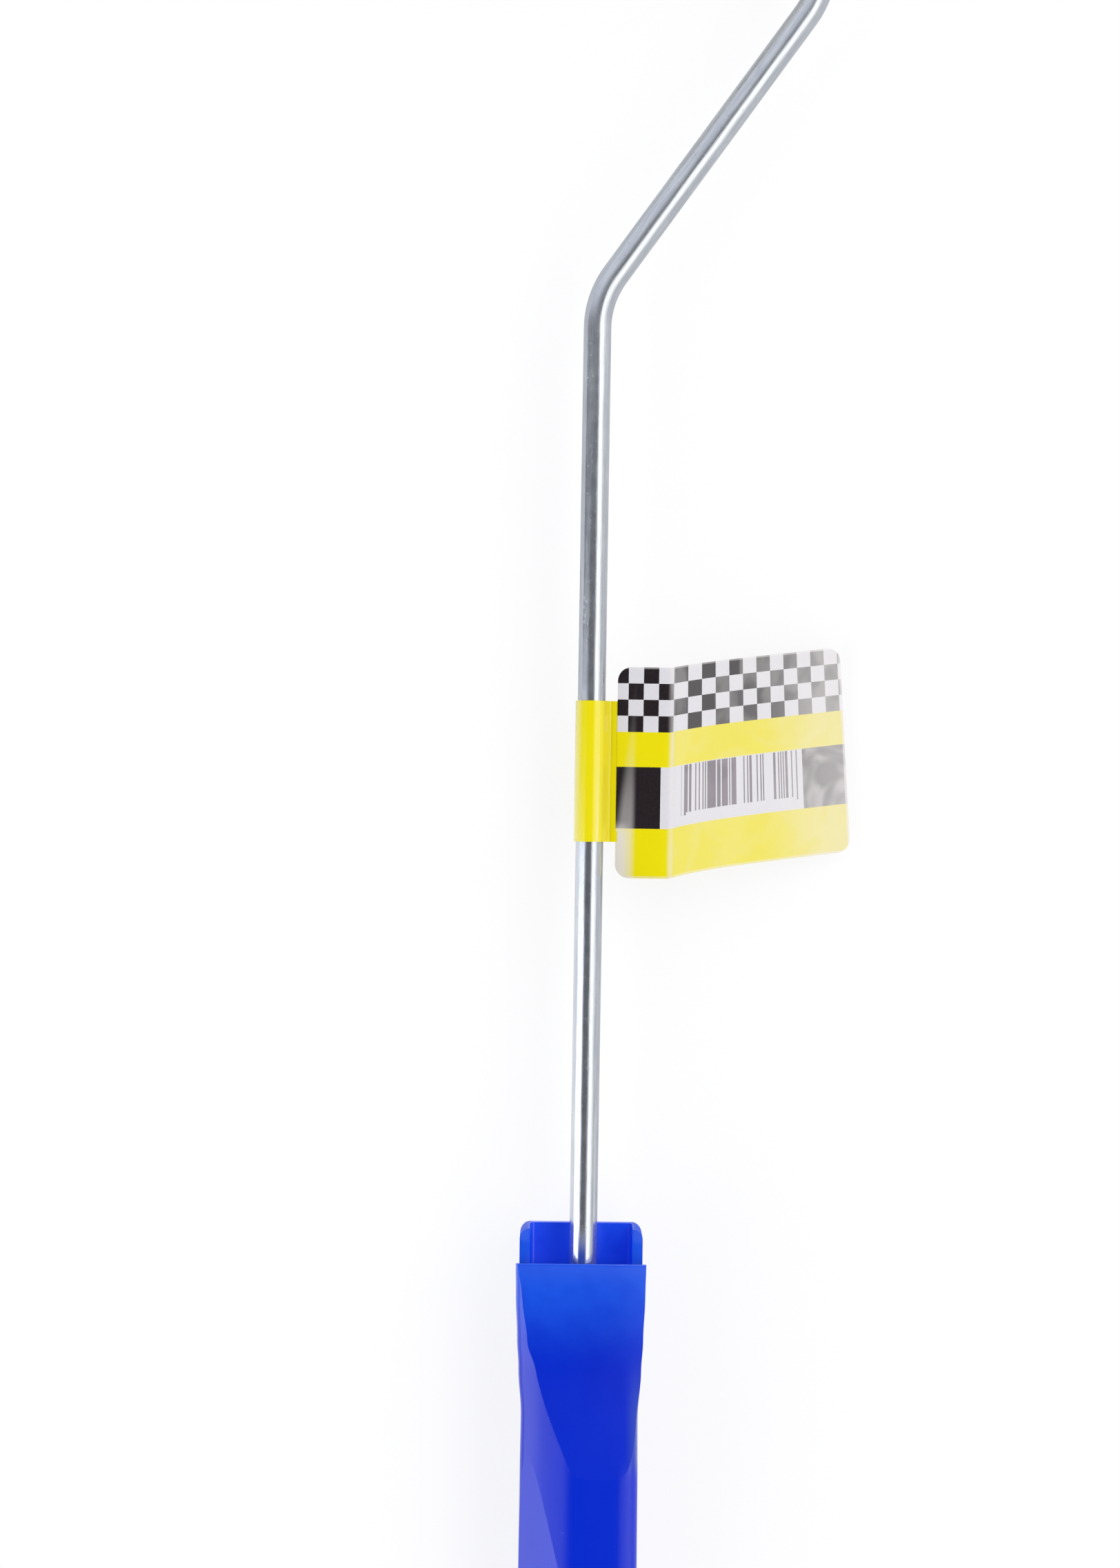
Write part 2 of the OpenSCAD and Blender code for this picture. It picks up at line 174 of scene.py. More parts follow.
def apply_modifier(obj, kind, **settings):
    activate(obj)
    modifier = obj.modifiers.new(kind.title(), kind)
    for key, value in settings.items():
        setattr(modifier, key, value)
    bpy.ops.object.modifier_apply(modifier=modifier.name)


def combine(obj, tool, operation):
    """Joins or cuts obj with the tool, which is used up. The tool's faces keep their material number."""
    apply_modifier(obj, "BOOLEAN", operation=operation, object=tool, solver="EXACT", material_mode="INDEX")
    bpy.data.objects.remove(tool)


def two_materials(obj, number):
    """Two empty material slots, and every face on one of them, so that cut edges can be told apart."""
    obj.data.materials.append(None)
    obj.data.materials.append(None)
    for face in obj.data.polygons:
        face.material_index = number


def smooth(obj, degrees):
    """Shades the faces smooth, apart from edges that turn by more than that."""
    activate(obj)
    bpy.ops.object.shade_smooth_by_angle(angle=math.radians(degrees))
    deselect_all()


def dress(obj, material, slot, body, *nodes):
    """Gives a finished piece its material, its body and the nodes it stands for. The slot is not used."""
    obj.data.materials.clear()
    obj.data.materials.append(material)
    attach(obj, body)
    if nodes:
        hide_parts(*nodes)
    return obj


# ---------------- material helpers


class Value:
    """One output of a shader node. Arithmetic on values adds Math nodes."""

    def __init__(self, finish, socket):
        self.finish = finish
        self.socket = socket

    def math(self, operation, *others):
        inputs = dict(enumerate((self, *others)))
        return self.finish.node("ShaderNodeMath", {"operation": operation}, inputs)[0]

    def __add__(self, other):
        return self.math("ADD", other)

    def __sub__(self, other):
        return self.math("SUBTRACT", other)

    def __rsub__(self, other):
        return (self * -1) + other

    def __mul__(self, other):
        return self.math("MULTIPLY", other)

    def __truediv__(self, other):
        return self.math("DIVIDE", other)

    def above(self, limit):
        return self.math("GREATER_THAN", limit)

    def below(self, limit):
        return self.math("LESS_THAN", limit)

    def between(self, low, high):
        return self.above(low) * self.below(high)

    def floor(self):
        return self.math("FLOOR")

    def ramp(self, low, high, start=0.0, end=1.0):
        """Goes smoothly from start at low to end at high."""
        inputs = {"Value": self, "From Min": low, "From Max": high, "To Min": start, "To Max": end}
        settings = {"interpolation_type": "SMOOTHSTEP"}
        return self.finish.node("ShaderNodeMapRange", settings, inputs)[0]


class Finish:
    """The node tree of a material or of the world."""

    def __init__(self, owner):
        owner.use_nodes = True
        self.owner = owner
        self.tree = owner.node_tree
        self.tree.nodes.clear()

    def node(self, kind, settings=None, sockets=None):
        """The outputs of a new node with these settings, and these values or links at its sockets."""
        made = self.tree.nodes.new(kind)
        for key, value in (settings or {}).items():
            setattr(made, key, value)
        for key, value in (sockets or {}).items():
            if isinstance(value, Value):
                self.tree.links.new(value.socket, made.inputs[key])
            else:
                made.inputs[key].default_value = value
        return [Value(self, out) for out in made.outputs if out.enabled]

    def place(self):
        """Coordinates of the object, which are those of the frame."""
        return self.node("ShaderNodeTexCoord")[3]

    def stored(self, name):
        """A coordinate that the piece carries as an attribute."""
        return self.node("ShaderNodeAttribute", {"attribute_name": name})[1]

    def stretched(self, vector, scale):
        return self.node("ShaderNodeMapping", None, {"Vector": vector, "Scale": scale})[0]

    def split(self, vector):
        return self.node("ShaderNodeSeparateXYZ", None, {0: vector})

    def noise(self, vector, scale, detail=3.0, roughness=0.5, distortion=0.0):
        inputs = {"Vector": vector, "Scale": scale, "Detail": detail, "Roughness": roughness,
                  "Distortion": distortion}
        return self.node("ShaderNodeTexNoise", None, inputs)[0]

    def cells(self, vector, scale):
        """Distance from the middle of the nearest cell."""
        return self.node("ShaderNodeTexVoronoi", None, {"Vector": vector, "Scale": scale})[0]

    def mix(self, factor, first, second):
        """Mixes two colours."""
        made = self.tree.nodes.new("ShaderNodeMix")
        made.data_type = "RGBA"
        for key, value in ((0, factor), (6, first), (7, second)):
            if isinstance(value, Value):
                self.tree.links.new(value.socket, made.inputs[key])
            else:
                made.inputs[key].default_value = value if key == 0 else (*value, 1.0)
        return Value(self, made.outputs[2])

    def bump(self, height, strength, distance, normal=None):
        sockets = {"Height": height, "Strength": strength, "Distance": distance}
        if normal is not None:
            sockets["Normal"] = normal
        return self.node("ShaderNodeBump", None, sockets)[0]

    def surface(self, **sockets):
        """The principled surface. A socket's name is written with _ for each space."""
        given = {key.replace("_", " "): value for key, value in sockets.items()}
        shader = self.node("ShaderNodeBsdfPrincipled", None, given)[0]
        self.node("ShaderNodeOutputMaterial", None, {"Surface": shader})
        return self.owner


def new_finish(name):
    """The tree of a new material, and the place of each point in the frame."""
    f = Finish(bpy.data.materials.new(name))
    return f, f.place()


# ---------------- materials


def handle_plastic():
    """Blue polypropylene. Thin walls at the mouth let light through. That light is painted in: paler colour
    near the mouth and a glow in the collar.
    """
    f, place = new_finish("blue_moulded_plastic")
    sideways, height, depth = f.split(place)
    sideways = sideways + height * math.tan(ASKEW)
    flow = f.noise(f.stretched(place, (1.0, 0.35, 1.0)), 60.0, 2.0)
    blotch = f.noise(place, 210.0, 3.0)
    grain = f.noise(place, 2600.0, 2.0)
    rub = f.noise(f.stretched(place, (0.6, 1.0, 1.0)), 700.0, 4.0, 0.7).ramp(0.66, 0.80)
    colour = f.mix(flow.ramp(0.35, 0.65), (0.0001, 0.021, 0.58), (0.0002, 0.025, 0.63))
    # painted light: near the mouth the thin walls are painted paler for the light that comes through them
    thin = height.ramp(LIP_Y - THIN_WALL_L, LIP_Y - 1 * MM)
    colour = f.mix(thin * (blotch * 0.8 + 0.6), colour, (0.010, 0.095, 0.80))
    colour = f.mix(rub * blotch.ramp(0.48, 0.62) * 0.25, colour, (0.06, 0.16, 0.75))
    rough = flow * 0.05 + blotch * 0.04 + grain * 0.03 + rub * 0.1 + 0.17
    waves = f.bump(f.noise(place, 130.0, 1.0), 0.10, 0.0005)
    normal = f.bump(grain, 0.08, 0.00005, waves)
    # painted sheen: the narrow flank is painted paler beside the thumb rest, for the light on that edge,
    # and it is dull below it
    rest_end = LIP_Y - THUMB_L
    beside = height.ramp(rest_end + 28 * MM, rest_end + 12 * MM) * height.ramp(rest_end, rest_end + 6 * MM)
    beside = beside * sideways.ramp(9.5 * MM, 12.4 * MM)
    colour = f.mix(beside * 0.8, colour, (0.04, 0.085, 0.50))
    below = height.ramp(rest_end + 6 * MM, rest_end - 2 * MM) * sideways.ramp(8 * MM, 10 * MM)
    rough = rough + below * 0.25
    # the collar's upper corners are rubbed dull
    reach = sideways.math("ABSOLUTE").ramp(COLLAR_HALF - 3 * MM, COLLAR_HALF - 1 * MM)
    rough = rough + reach * height.ramp(LIP_Y + 3.5 * MM, LIP_Y + 5.5 * MM) * 0.35
    # painted glow: the collar's thin walls are given a blue emission for the light that they let through
    inside = height.ramp(LIP_Y - 5 * MM, LIP_Y) * depth.ramp(COLLAR_EDGE_Z, COLLAR_EDGE_Z - 2 * MM)
    inside = inside * sideways.math("ABSOLUTE").below(CAVITY_HALF + 0.05 * MM)
    glow = f.mix(inside, (0.0, 0.0, 0.0), (0.0, 0.004, 0.21))
    return f.surface(Base_Color=colour, Roughness=rough, Normal=normal, IOR=1.5, Specular_IOR_Level=0.55,
                     Emission_Color=glow, Emission_Strength=1.0)


def zinc_wire():
    """Drawn steel with thin zinc plating: streaks along the wire, and small cloudy spots."""
    f, place = new_finish("zinc_plated_wire")
    straight = f.stored("straight")
    die_lines = f.noise(f.stretched(straight, (1.0, 0.012, 1.0)), 2600.0, 3.0, 0.6)
    streaks = f.noise(f.stretched(straight, (1.0, 0.06, 1.0)), 1500.0, 4.0, 0.65)
    clouds = f.noise(straight, 320.0, 4.0, 0.6)
    spots = f.noise(f.stretched(straight, (1.0, 0.5, 1.0)), 1900.0, 2.0).ramp(0.62, 0.75)
    shade = streaks.ramp(0.35, 0.7) * 0.6 + clouds * 0.4
    colour = f.mix(shade, (0.55, 0.58, 0.64), (0.76, 0.79, 0.82))
    colour = f.mix(spots * 0.35, colour, (0.38, 0.40, 0.46))
    # painted reflection: near the mouth the dark streak over the wire is painted with the handle's blue,
    # and is less metallic there
    sideways, height, depth = f.split(place)
    from_streak = (sideways + 0.3 * MM).math("ABSOLUTE")
    mirrored = height.ramp(LIP_Y + 8.5 * MM, LIP_Y + 1 * MM) * depth.above(0.0)
    mirrored = mirrored * from_streak.ramp(1.0 * MM, 0.6 * MM)
    colour = f.mix(mirrored, colour, (0.05, 0.10, 0.45))
    metal = (clouds * -0.1 + 0.90) * (1.0 - mirrored)
    rough = die_lines * 0.10 + clouds * 0.08 + spots * 0.12 + 0.10
    normal = f.bump(die_lines, 0.20, 0.00005, f.bump(streaks, 0.25, 0.0001))
    return f.surface(Base_Color=colour, Metallic=metal, Roughness=rough, Normal=normal)


def socket_plastic():
    """Plain blue polypropylene, duller than the handle."""
    f, place = new_finish("blue_socket_plastic")
    cloud = f.noise(place, 240.0, 3.0)
    grain = f.noise(place, 1800.0, 2.0)
    colour = f.mix(cloud, (0.0008, 0.024, 0.42), (0.003, 0.034, 0.52))
    normal = f.bump(grain, 0.2, 0.0001)
    return f.surface(Base_Color=colour, Roughness=cloud * 0.12 + 0.36, Normal=normal)


def nylon():
    """Natural nylon of the stop washer, a little yellowed and scuffed."""
    f, place = new_finish("natural_nylon")
    cloud = f.noise(place, 380.0, 3.0)
    scuff = f.noise(place, 2400.0, 3.0).ramp(0.55, 0.75)
    colour = f.mix(cloud, (0.72, 0.70, 0.62), (0.82, 0.81, 0.76))
    colour = f.mix(scuff * 0.3, colour, (0.50, 0.48, 0.43))
    return f.surface(Base_Color=colour, Roughness=cloud * 0.15 + 0.35, Normal=f.bump(scuff, 0.2, 0.00005))


def spring_steel():
    """Dark phosphated steel of the push-on clip."""
    f, place = new_finish("phosphated_steel")
    speckle = f.noise(place, 3200.0, 3.0)
    cloud = f.noise(place, 500.0, 3.0)
    colour = f.mix(speckle.ramp(0.4, 0.7), (0.10, 0.10, 0.11), (0.24, 0.24, 0.25))
    rough = cloud * 0.2 + 0.38
    return f.surface(Base_Color=colour, Metallic=1.0, Roughness=rough, Normal=f.bump(speckle, 0.3, 0.00005))


def core_plastic():
    """Extruded polypropylene tube, with fine lines along it."""
    f, place = new_finish("extruded_tube_plastic")
    lines = f.noise(f.stretched(place, (0.03, 1.0, 1.0)), 2200.0, 2.0)
    cloud = f.noise(place, 160.0, 2.0)
    colour = f.mix(cloud, (0.66, 0.66, 0.62), (0.76, 0.76, 0.73))
    return f.surface(Base_Color=colour, Roughness=lines * 0.15 + 0.35, Normal=f.bump(lines, 0.2, 0.00008))


def plug_plastic():
    """Dark grey moulded plugs and cap, finely textured, with scattered paler flecks."""
    f, place = new_finish("dark_plug_plastic")
    grain = f.noise(place, 2600.0, 3.0)
    cloud = f.noise(place, 260.0, 3.0)
    colour = f.mix(cloud, (0.022, 0.024, 0.028), (0.040, 0.043, 0.048))
    colour = f.mix(grain.ramp(0.62, 0.8) * 0.4, colour, (0.11, 0.11, 0.12))
    rough = cloud * 0.18 + grain * 0.1 + 0.34
    return f.surface(Base_Color=colour, Roughness=rough, Normal=f.bump(grain, 0.35, 0.0001))


def roller_foam():
    """Open-cell foam: round pores of two sizes over a soft mottled off-white."""
    f, place = new_finish("open_cell_foam")
    warped = f.node("ShaderNodeVectorMath", {"operation": "MULTIPLY_ADD"},
                    {0: f.node("ShaderNodeTexNoise", None, {"Vector": place, "Scale": 900.0})[1],
                     1: (0.0006, 0.0006, 0.0006), 2: place})[0]
    large = f.cells(warped, 1150.0).ramp(0.18, 0.52)
    small = f.cells(warped, 2700.0).ramp(0.15, 0.5)
    cloud = f.noise(place, 90.0, 3.0)
    tone = f.mix(cloud, (0.80, 0.76, 0.64), (0.88, 0.85, 0.76))
    # painted shade: the pores are painted darker and browner, for the shade in their hollows
    tone = f.mix(1.0 - small, tone, (0.66, 0.61, 0.48))
    tone = f.mix(1.0 - large, tone, (0.48, 0.43, 0.32))
    height = large * 0.7 + small * 0.3
    return f.surface(Base_Color=tone, Roughness=0.92, Normal=f.bump(height, 0.9, 0.00035))


# The label's flag and its print: across from the flag's left edge, and down from its top edge. The
# flag is folded between its inner and its outer part.
FLAG_H = 45.9 * MM
INNER_W = 11.6 * MM
OUTER_W = 41 * MM
FLAG_W = INNER_W + OUTER_W
CHECKER_PITCH = 3.3 * MM
CHECKER_START = 2.35 * MM
CHECKER_ROW = 3.53 * MM
UPPER_YELLOW = 14.1 * MM
DARK_BAND = 21.7 * MM
LOWER_YELLOW = 35.1 * MM
BOX_LEFT = 9.6 * MM
BOX_RIGHT = 42.4 * MM
BARS_LEFT = 14.2 * MM
BARS_RIGHT = 41.6 * MM
BARS_END = 32.3 * MM
BAR_WIDTH = 0.28 * MM
GUARD_W = 1.1 * MM
CLEAR_LEFT = 14.8 * MM
CLEAR_RIGHT = 22.4 * MM
CLEAR_SOFT = 0.8 * MM
FILM_EDGE = 0.5 * MM


def print_pattern(f, place, across, down, flag):
    """Checker rows, yellow and black bands, and a white box of plain bars of random widths."""
    fibre = f.noise(place, 1400.0, 3.0)
    cloud = f.noise(place, 120.0, 2.0)
    yellow = f.mix(cloud, (0.90, 0.775, 0.003), (0.94, 0.81, 0.005))
    white = f.mix(fibre, (0.76, 0.74, 0.77), (0.82, 0.80, 0.82))
    black = f.mix(fibre, (0.016, 0.011, 0.013), (0.028, 0.021, 0.024))
    column = ((across - CHECKER_START) / CHECKER_PITCH).floor()
    row = (down / CHECKER_ROW).floor()
    odd = (column + row).math("FLOORED_MODULO", 2.0).above(0.5)
    in_checker = down.below(UPPER_YELLOW) * flag
    in_band = down.between(DARK_BAND, LOWER_YELLOW) * flag
    step = (across / BAR_WIDTH).floor()
    chance = f.node("ShaderNodeTexWhiteNoise", {"noise_dimensions": "1D"}, {"W": step})[0]
    guard = (across - BARS_LEFT).below(GUARD_W) + (across - BARS_RIGHT).above(-GUARD_W)
    end = guard * 0.6 * MM + BARS_END
    dense = across.ramp(BARS_LEFT, BARS_RIGHT, 0.34, 0.54)
    bar = (chance - dense).above(0.0) * across.between(BARS_LEFT, BARS_RIGHT) * (down - end).below(0)
    bar = bar * down.above(DARK_BAND + 0.15 * MM)
    colour = f.mix(in_checker, yellow, white)
    colour = f.mix(in_checker * odd, colour, black)
    return f.mix(in_band, colour, black), f.mix(bar, white, (0.20, 0.165, 0.20)), in_band


def label_print():
    """Laminated paper. Beyond the fold its film carries painted glare, and its wrap shines along the wire,
    partly with a painted highlight.
    """
    f, place = new_finish("laminated_label_paper")
    sheet = f.stored("print")
    across, down, face = f.split(sheet)
    flag = face.above(-0.5)
    wrap = face.below(-0.5)
    colour, box, in_band = print_pattern(f, place, across, down, flag)
    in_box = in_band * across.between(BOX_LEFT, BOX_RIGHT) * face.above(0.5)
    beside_box = in_band * across.above(BOX_RIGHT)
    colour = f.mix(in_box, colour, box)

    # painted glare: a little everywhere beyond the fold, and more in patches and towards the free end
    swirl = f.noise(f.stretched(sheet, (1.0, 0.8, 1.0)), 150.0, 2.0)
    marble = f.noise(sheet, 75.0, 2.0, distortion=1.6)
    past_fold = across.ramp(INNER_W + 0.2 * MM, INNER_W + 0.9 * MM)
    in_rows = down.below(UPPER_YELLOW)
    top_row = down.below(CHECKER_ROW)
    clear = across.ramp(CLEAR_LEFT, CLEAR_LEFT + CLEAR_SOFT)
    clear = clear * (across - top_row * 6 * MM).ramp(CLEAR_RIGHT, CLEAR_RIGHT - CLEAR_SOFT)
    glare_patches = in_rows * (1.0 - clear) * swirl.ramp(0.40, 0.58, 0.07, 0.19)
    glare_patches = glare_patches + across.ramp(30 * MM, 51 * MM, 0, 0.32)
    glare_smear = (1.0 - in_rows) * (marble.ramp(0.40, 0.64) * 0.07 + 0.06)
    glare_by_box = beside_box * (marble.ramp(0.38, 0.68) * 0.24 + 0.04)
    painted_glare = past_fold * (glare_patches + glare_smear + glare_by_box)
    # a painted shine: a curved highlight on the part before the fold, wider towards the curled corner
    rise = (across + (down - 15 * MM) * 0.13).ramp(2.0 * MM, 4.0 * MM)
    shine = rise * across.ramp(4.5 * MM, 3.1 * MM) * down.ramp(14 * MM, 34 * MM, 0.10, 0.34)
    corner = across.ramp(4.0 * MM, 0.5 * MM) * down.ramp(33 * MM, 37 * MM, 0, 0.62)
    # a painted highlight along the crease at the fold, pale in streaks
    lines = f.noise(f.stretched(sheet, (1.0, 0.10, 1.0)), 520.0, 3.0).ramp(0.35, 0.65, 0.45, 1.0)
    crease = across.ramp(INNER_W - 0.7 * MM, INNER_W + 0.3 * MM)
    crease = crease * across.ramp(INNER_W + 1.1 * MM, INNER_W + 0.5 * MM)
    edge = down.below(FILM_EDGE * 0.7) + down.above(FLAG_H - FILM_EDGE)
    edge = edge + across.above(FLAG_W - FILM_EDGE)
    pale = painted_glare + shine + corner + crease * lines * 0.48 + edge * 0.3
    # the flag past the fold is darkened a little; then the painted glare, shine and crease highlight, with
    # the pale film edges, lighten it
    colour = f.mix(past_fold * flag * 0.06, colour, (0.0, 0.0, 0.0))
    colour = f.mix((pale * flag).math("MINIMUM", 0.85), colour, (0.88, 0.83, 0.82))

    # the wrap: a painted highlight streak over the wire, a painted shade crease beside it and a painted
    # pale far side
    streak = across.ramp(-4.5 * MM, -4.1 * MM) * across.ramp(-3.6 * MM, -3.9 * MM)
    far_side = across.ramp(-7.4 * MM, -8.7 * MM)
    patchiness = f.noise(f.stretched(sheet, (1.0, 0.05, 1.0)), 260.0, 2.0).ramp(0.3, 0.7, 0.5, 1.2)
    bright = streak * patchiness * down.ramp(8 * MM, 38 * MM, 0.10, 0.30) + far_side * 0.22
    colour = f.mix(bright * wrap, colour, (1.0, 0.97, 0.85))
    lee_shade = across.ramp(-3.4 * MM, -2.8 * MM) * across.ramp(-1.2 * MM, -1.9 * MM)
    colour = f.mix(lee_shade * patchiness * wrap * 0.3, colour, (0.55, 0.40, 0.02))

    ripple = f.noise(f.stretched(place, (1.0, 0.6, 1.0)), 95.0, 2.0)
    folds = f.noise(f.stretched(place, (1.0, 0.06, 1.0)), 700.0, 2.0)
    normal = f.bump(folds, 0.2, 0.0003, f.bump(ripple, 0.3, 0.001))
    rough = f.noise(place, 300.0, 3.0) * 0.08 + 0.16
    return f.surface(Base_Color=colour, Roughness=rough, Normal=normal, IOR=1.5, Specular_IOR_Level=0.3,
                     Coat_Weight=0.8, Coat_Roughness=0.07, Coat_IOR=1.5)


# ---------------- handle

TAIL_L = -handle_low.y
MOUTH_HALF = (handle_high.x - handle_low.x) / 2
WAIST_HALF = 12.65 * MM
PALM_HALF = 12.8 * MM
TAIL_HALF = 11 * MM
CROWN_Z = 10.2 * MM
BACK_Z = 9.5 * MM
BELLY_Z = -handle_low.z
TAIL_DEPTH = 7.5 * MM
WAIST_DROP = 33 * MM
HANG_R = 4 * MM
FLANK_START = 1.3 * MM
FLANK_SOFT = 1 * MM
FALL = math.tan(math.radians(18))
SCOOP_ANGLE = math.radians(32)
SCOOP_Y = 34 * MM
SCOOP_L = 20 * MM
SCOOP_EDGE = 3.5 * MM
SCOOP_RISE = math.tan(math.radians(3.6))
RING_POINTS = 120

THUMB_L = 46 * MM
THUMB_BREAK = 23 * MM
THUMB_DEPTH = 3 * MM
CREASE_SOFT = 2 * MM
ROLL_L = 8 * MM
ROLL = math.radians(12)
LIP_LEVEL = 7 * MM
LIP_ROUND = 0.5 * MM
EDGE_ROUND = 0.3 * MM
THIN_WALL_L = 24 * MM

MOUTH_WALL = 2.2 * MM
MOUTH_LEAN = 0.2
LEAN_START = LIP_LEVEL - 0.6 * MM
ASKEW = math.radians(0.22)
COLLAR_HALF = MOUTH_HALF - 0.8 * MM
COLLAR_EDGE_Z = 3 * MM
COLLAR_CORNER_R = 2.2 * MM
COLLAR_BACK_R = 2.5 * MM
COLLAR_RIM_R = 0.9 * MM
COLLAR_SUNK = 8 * MM
CAVITY_HALF = COLLAR_HALF - MOUTH_WALL
CAVITY_FRONT = 3.7 * MM
CAVITY_BACK = BACK_Z - MOUTH_WALL
CAVITY_R = 1 * MM
TOOL_REACH = 20 * MM
WIDENING = MOUTH_HALF - WAIST_HALF

# Height along Y, half width, front depth, back depth, squareness of the back and of the front, and
# how steeply the broad flank falls
HANDLE_STATIONS = [
    (0, TAIL_HALF, TAIL_DEPTH, TAIL_DEPTH, 2.6, 2.6, 0),
    (LIP_Y * 0.162, PALM_HALF, CROWN_Z - 0.4 * MM, BELLY_Z - 1.6 * MM, 2.8, 4.5, FALL * 0.9),
    (LIP_Y * 0.36, PALM_HALF, CROWN_Z, BELLY_Z, 3, 8, FALL),
    (LIP_Y - WAIST_DROP * 1.4, WAIST_HALF + 0.1 * MM, CROWN_Z, BACK_Z + 2.6 * MM, 3, 8, FALL),
    (LIP_Y - WAIST_DROP, WAIST_HALF, CROWN_Z, BACK_Z + 1.2 * MM, 3, 8, FALL),
    (LIP_Y - WAIST_DROP * 0.7, WAIST_HALF + WIDENING * 0.43, CROWN_Z, BACK_Z + 0.7 * MM,
     3.2, 8, FALL * 1.06),
    (LIP_Y - WAIST_DROP * 0.5, WAIST_HALF + WIDENING * 0.67, CROWN_Z, BACK_Z + 0.4 * MM,
     3.6, 8, FALL * 0.86),
    (LIP_Y - 7 * MM, MOUTH_HALF - 0.1 * MM, CROWN_Z, BACK_Z + 0.3 * MM, 4.5, 7, FALL * 0.7),
    (LIP_Y, MOUTH_HALF, CROWN_Z, BACK_Z + 0.3 * MM, 5, 7, FALL * 0.67),
]


def soft_beyond(distance):
    """Distance beyond the flank's start, softened where it begins."""
    return (distance + math.hypot(distance, FLANK_SOFT)) / 2


def section_point(station, angle):
    """Point of a section: a superellipse, squarer in front, where its broad flank falls away."""
    y, half, front, back, back_square, front_square, fall = station
    c, s = math.cos(angle), math.sin(angle)
    power = 2 / (3 if s > 0 else back_square)
    u = math.copysign(abs(c) ** power, c)
    if s > 0:
        drop = fall * soft_beyond(-FLANK_START - u * half)
        z = (front - drop) * (1 - abs(u) ** front_square) ** (1 / front_square)
    else:
        z = -back * abs(s) ** power
    return Vector((u * half, y, z))


def between_stations(a, b, t):
    eased = (1 - math.cos(math.pi * t)) / 2
    return tuple(a[i] + (b[i] - a[i]) * (t if i == 0 else eased) for i in range(len(a)))


def tail_station(t):
    """Sections of the rounded tail shrink along a quarter circle. t is 1 at its end."""
    _, half, front, back, back_square, front_square, _ = HANDLE_STATIONS[0]
    k = math.cos(math.radians(84.6) * t)
    depth = 0.35 + 0.65 * k
    y = -TAIL_L * math.sin(math.radians(90) * t)
    return (y, half * k, front * depth, back * depth, back_square, front_square, 0)


def handle_sections(per_span=8, tail_steps=12):
    sections = [tail_station(i / tail_steps) for i in range(tail_steps, 0, -1)]
    for a, b in zip(HANDLE_STATIONS, HANDLE_STATIONS[1:]):
        sections += [between_stations(a, b, i / per_span) for i in range(per_span)]
    return sections + [HANDLE_STATIONS[-1]]


def handle_loft():
    """The handle's outer form: a ring that is extruded from section to section."""
    bpy.ops.mesh.primitive_circle_add(vertices=RING_POINTS, radius=1, fill_type="NGON")
    body = named("handle")
    sections = handle_sections()
    with Shaping(body) as shaping:
        mesh = bmesh.from_edit_mesh(body.data)
        turn = mesh.verts.layers.float.new("turn")
        for v in mesh.verts:
            v[turn] = math.atan2(v.co.y, v.co.x) + math.pi / RING_POINTS
        for number, section in enumerate(sections):
            if number:
                shaping.extrude()
            mesh = bmesh.from_edit_mesh(body.data)
            turn = mesh.verts.layers.float["turn"]
            for v in shaping.chosen():
                v.co = section_point(section, v[turn])
            shaping.update()
        shaping.outward()
        # the mouth leans back a little below the lip
        bpy.ops.mesh.bisect(plane_co=(0, LIP_Y, LEAN_START), plane_no=(0, 1, -MOUTH_LEAN),
                            use_fill=True, clear_outer=True)
    return body


def thumb_height(y):
    """Height of the thumb rest above the wire's axis: two facets with a soft crease, then a roll."""
    crease_y = LIP_Y - THUMB_BREAK
    crease_z = CROWN_Z - THUMB_DEPTH
    roll_y = LIP_Y - LIP_ROUND - ROLL_L
    steep = -THUMB_DEPTH / (THUMB_L - THUMB_BREAK)
    flat = (LIP_LEVEL - crease_z) / (roll_y - crease_y)
    d = y - crease_y
    z = crease_z + (steep + flat) / 2 * d + (flat - steep) / 2 * math.hypot(d, CREASE_SOFT)
    if y > roll_y:
        radius = ROLL_L / math.sin(ROLL)
        z -= radius - math.sqrt(radius**2 - min(y - roll_y, ROLL_L) ** 2)
    round_y = y - (LIP_Y - LIP_ROUND)
    if round_y > 0:
        z -= LIP_ROUND - math.sqrt(max(LIP_ROUND**2 - min(round_y, LIP_ROUND) ** 2, 0))
    return z


def thumb_tool():
    """A block whose underside is the thumb rest."""
    low_y = LIP_Y - THUMB_L - 25 * MM
    half_width = 60 * MM
    # the shares of the rows up to the roll, the lip's rounding and its end
    to_roll, to_round, to_end = 0.4, 0.6, 0.97
    bpy.ops.mesh.primitive_grid_add(x_subdivisions=1, y_subdivisions=140, size=1)
    tool = named("thumb_tool")
    with Shaping(tool) as shaping:
        shaping.pick_all()
        rows = sorted({round(v.co.y, 6) for v in shaping.chosen()})
        knee = LIP_Y - LIP_ROUND - ROLL_L
        for v in shaping.chosen():
            t = rows.index(round(v.co.y, 6)) / (len(rows) - 1)
            if t < to_roll:
                y = low_y + (knee - low_y) * t / to_roll
            elif t < to_round:
                y = knee + ROLL_L * (t - to_roll) / (to_round - to_roll)
            elif t < to_end:
                turn = math.pi / 2 * (t - to_round) / (to_end - to_round)
                y = LIP_Y - LIP_ROUND + LIP_ROUND * math.sin(turn)
            else:
                y = LIP_Y + TOOL_REACH * (t - to_end) / (1 - to_end)
            v.co = Vector((v.co.x * half_width, y, thumb_height(y)))
        shaping.update()
        shaping.extrude(0, 0, TOOL_REACH)
        for v in shaping.chosen():
            v.co.z = 2 * TOOL_REACH
        shaping.outward()
    return tool


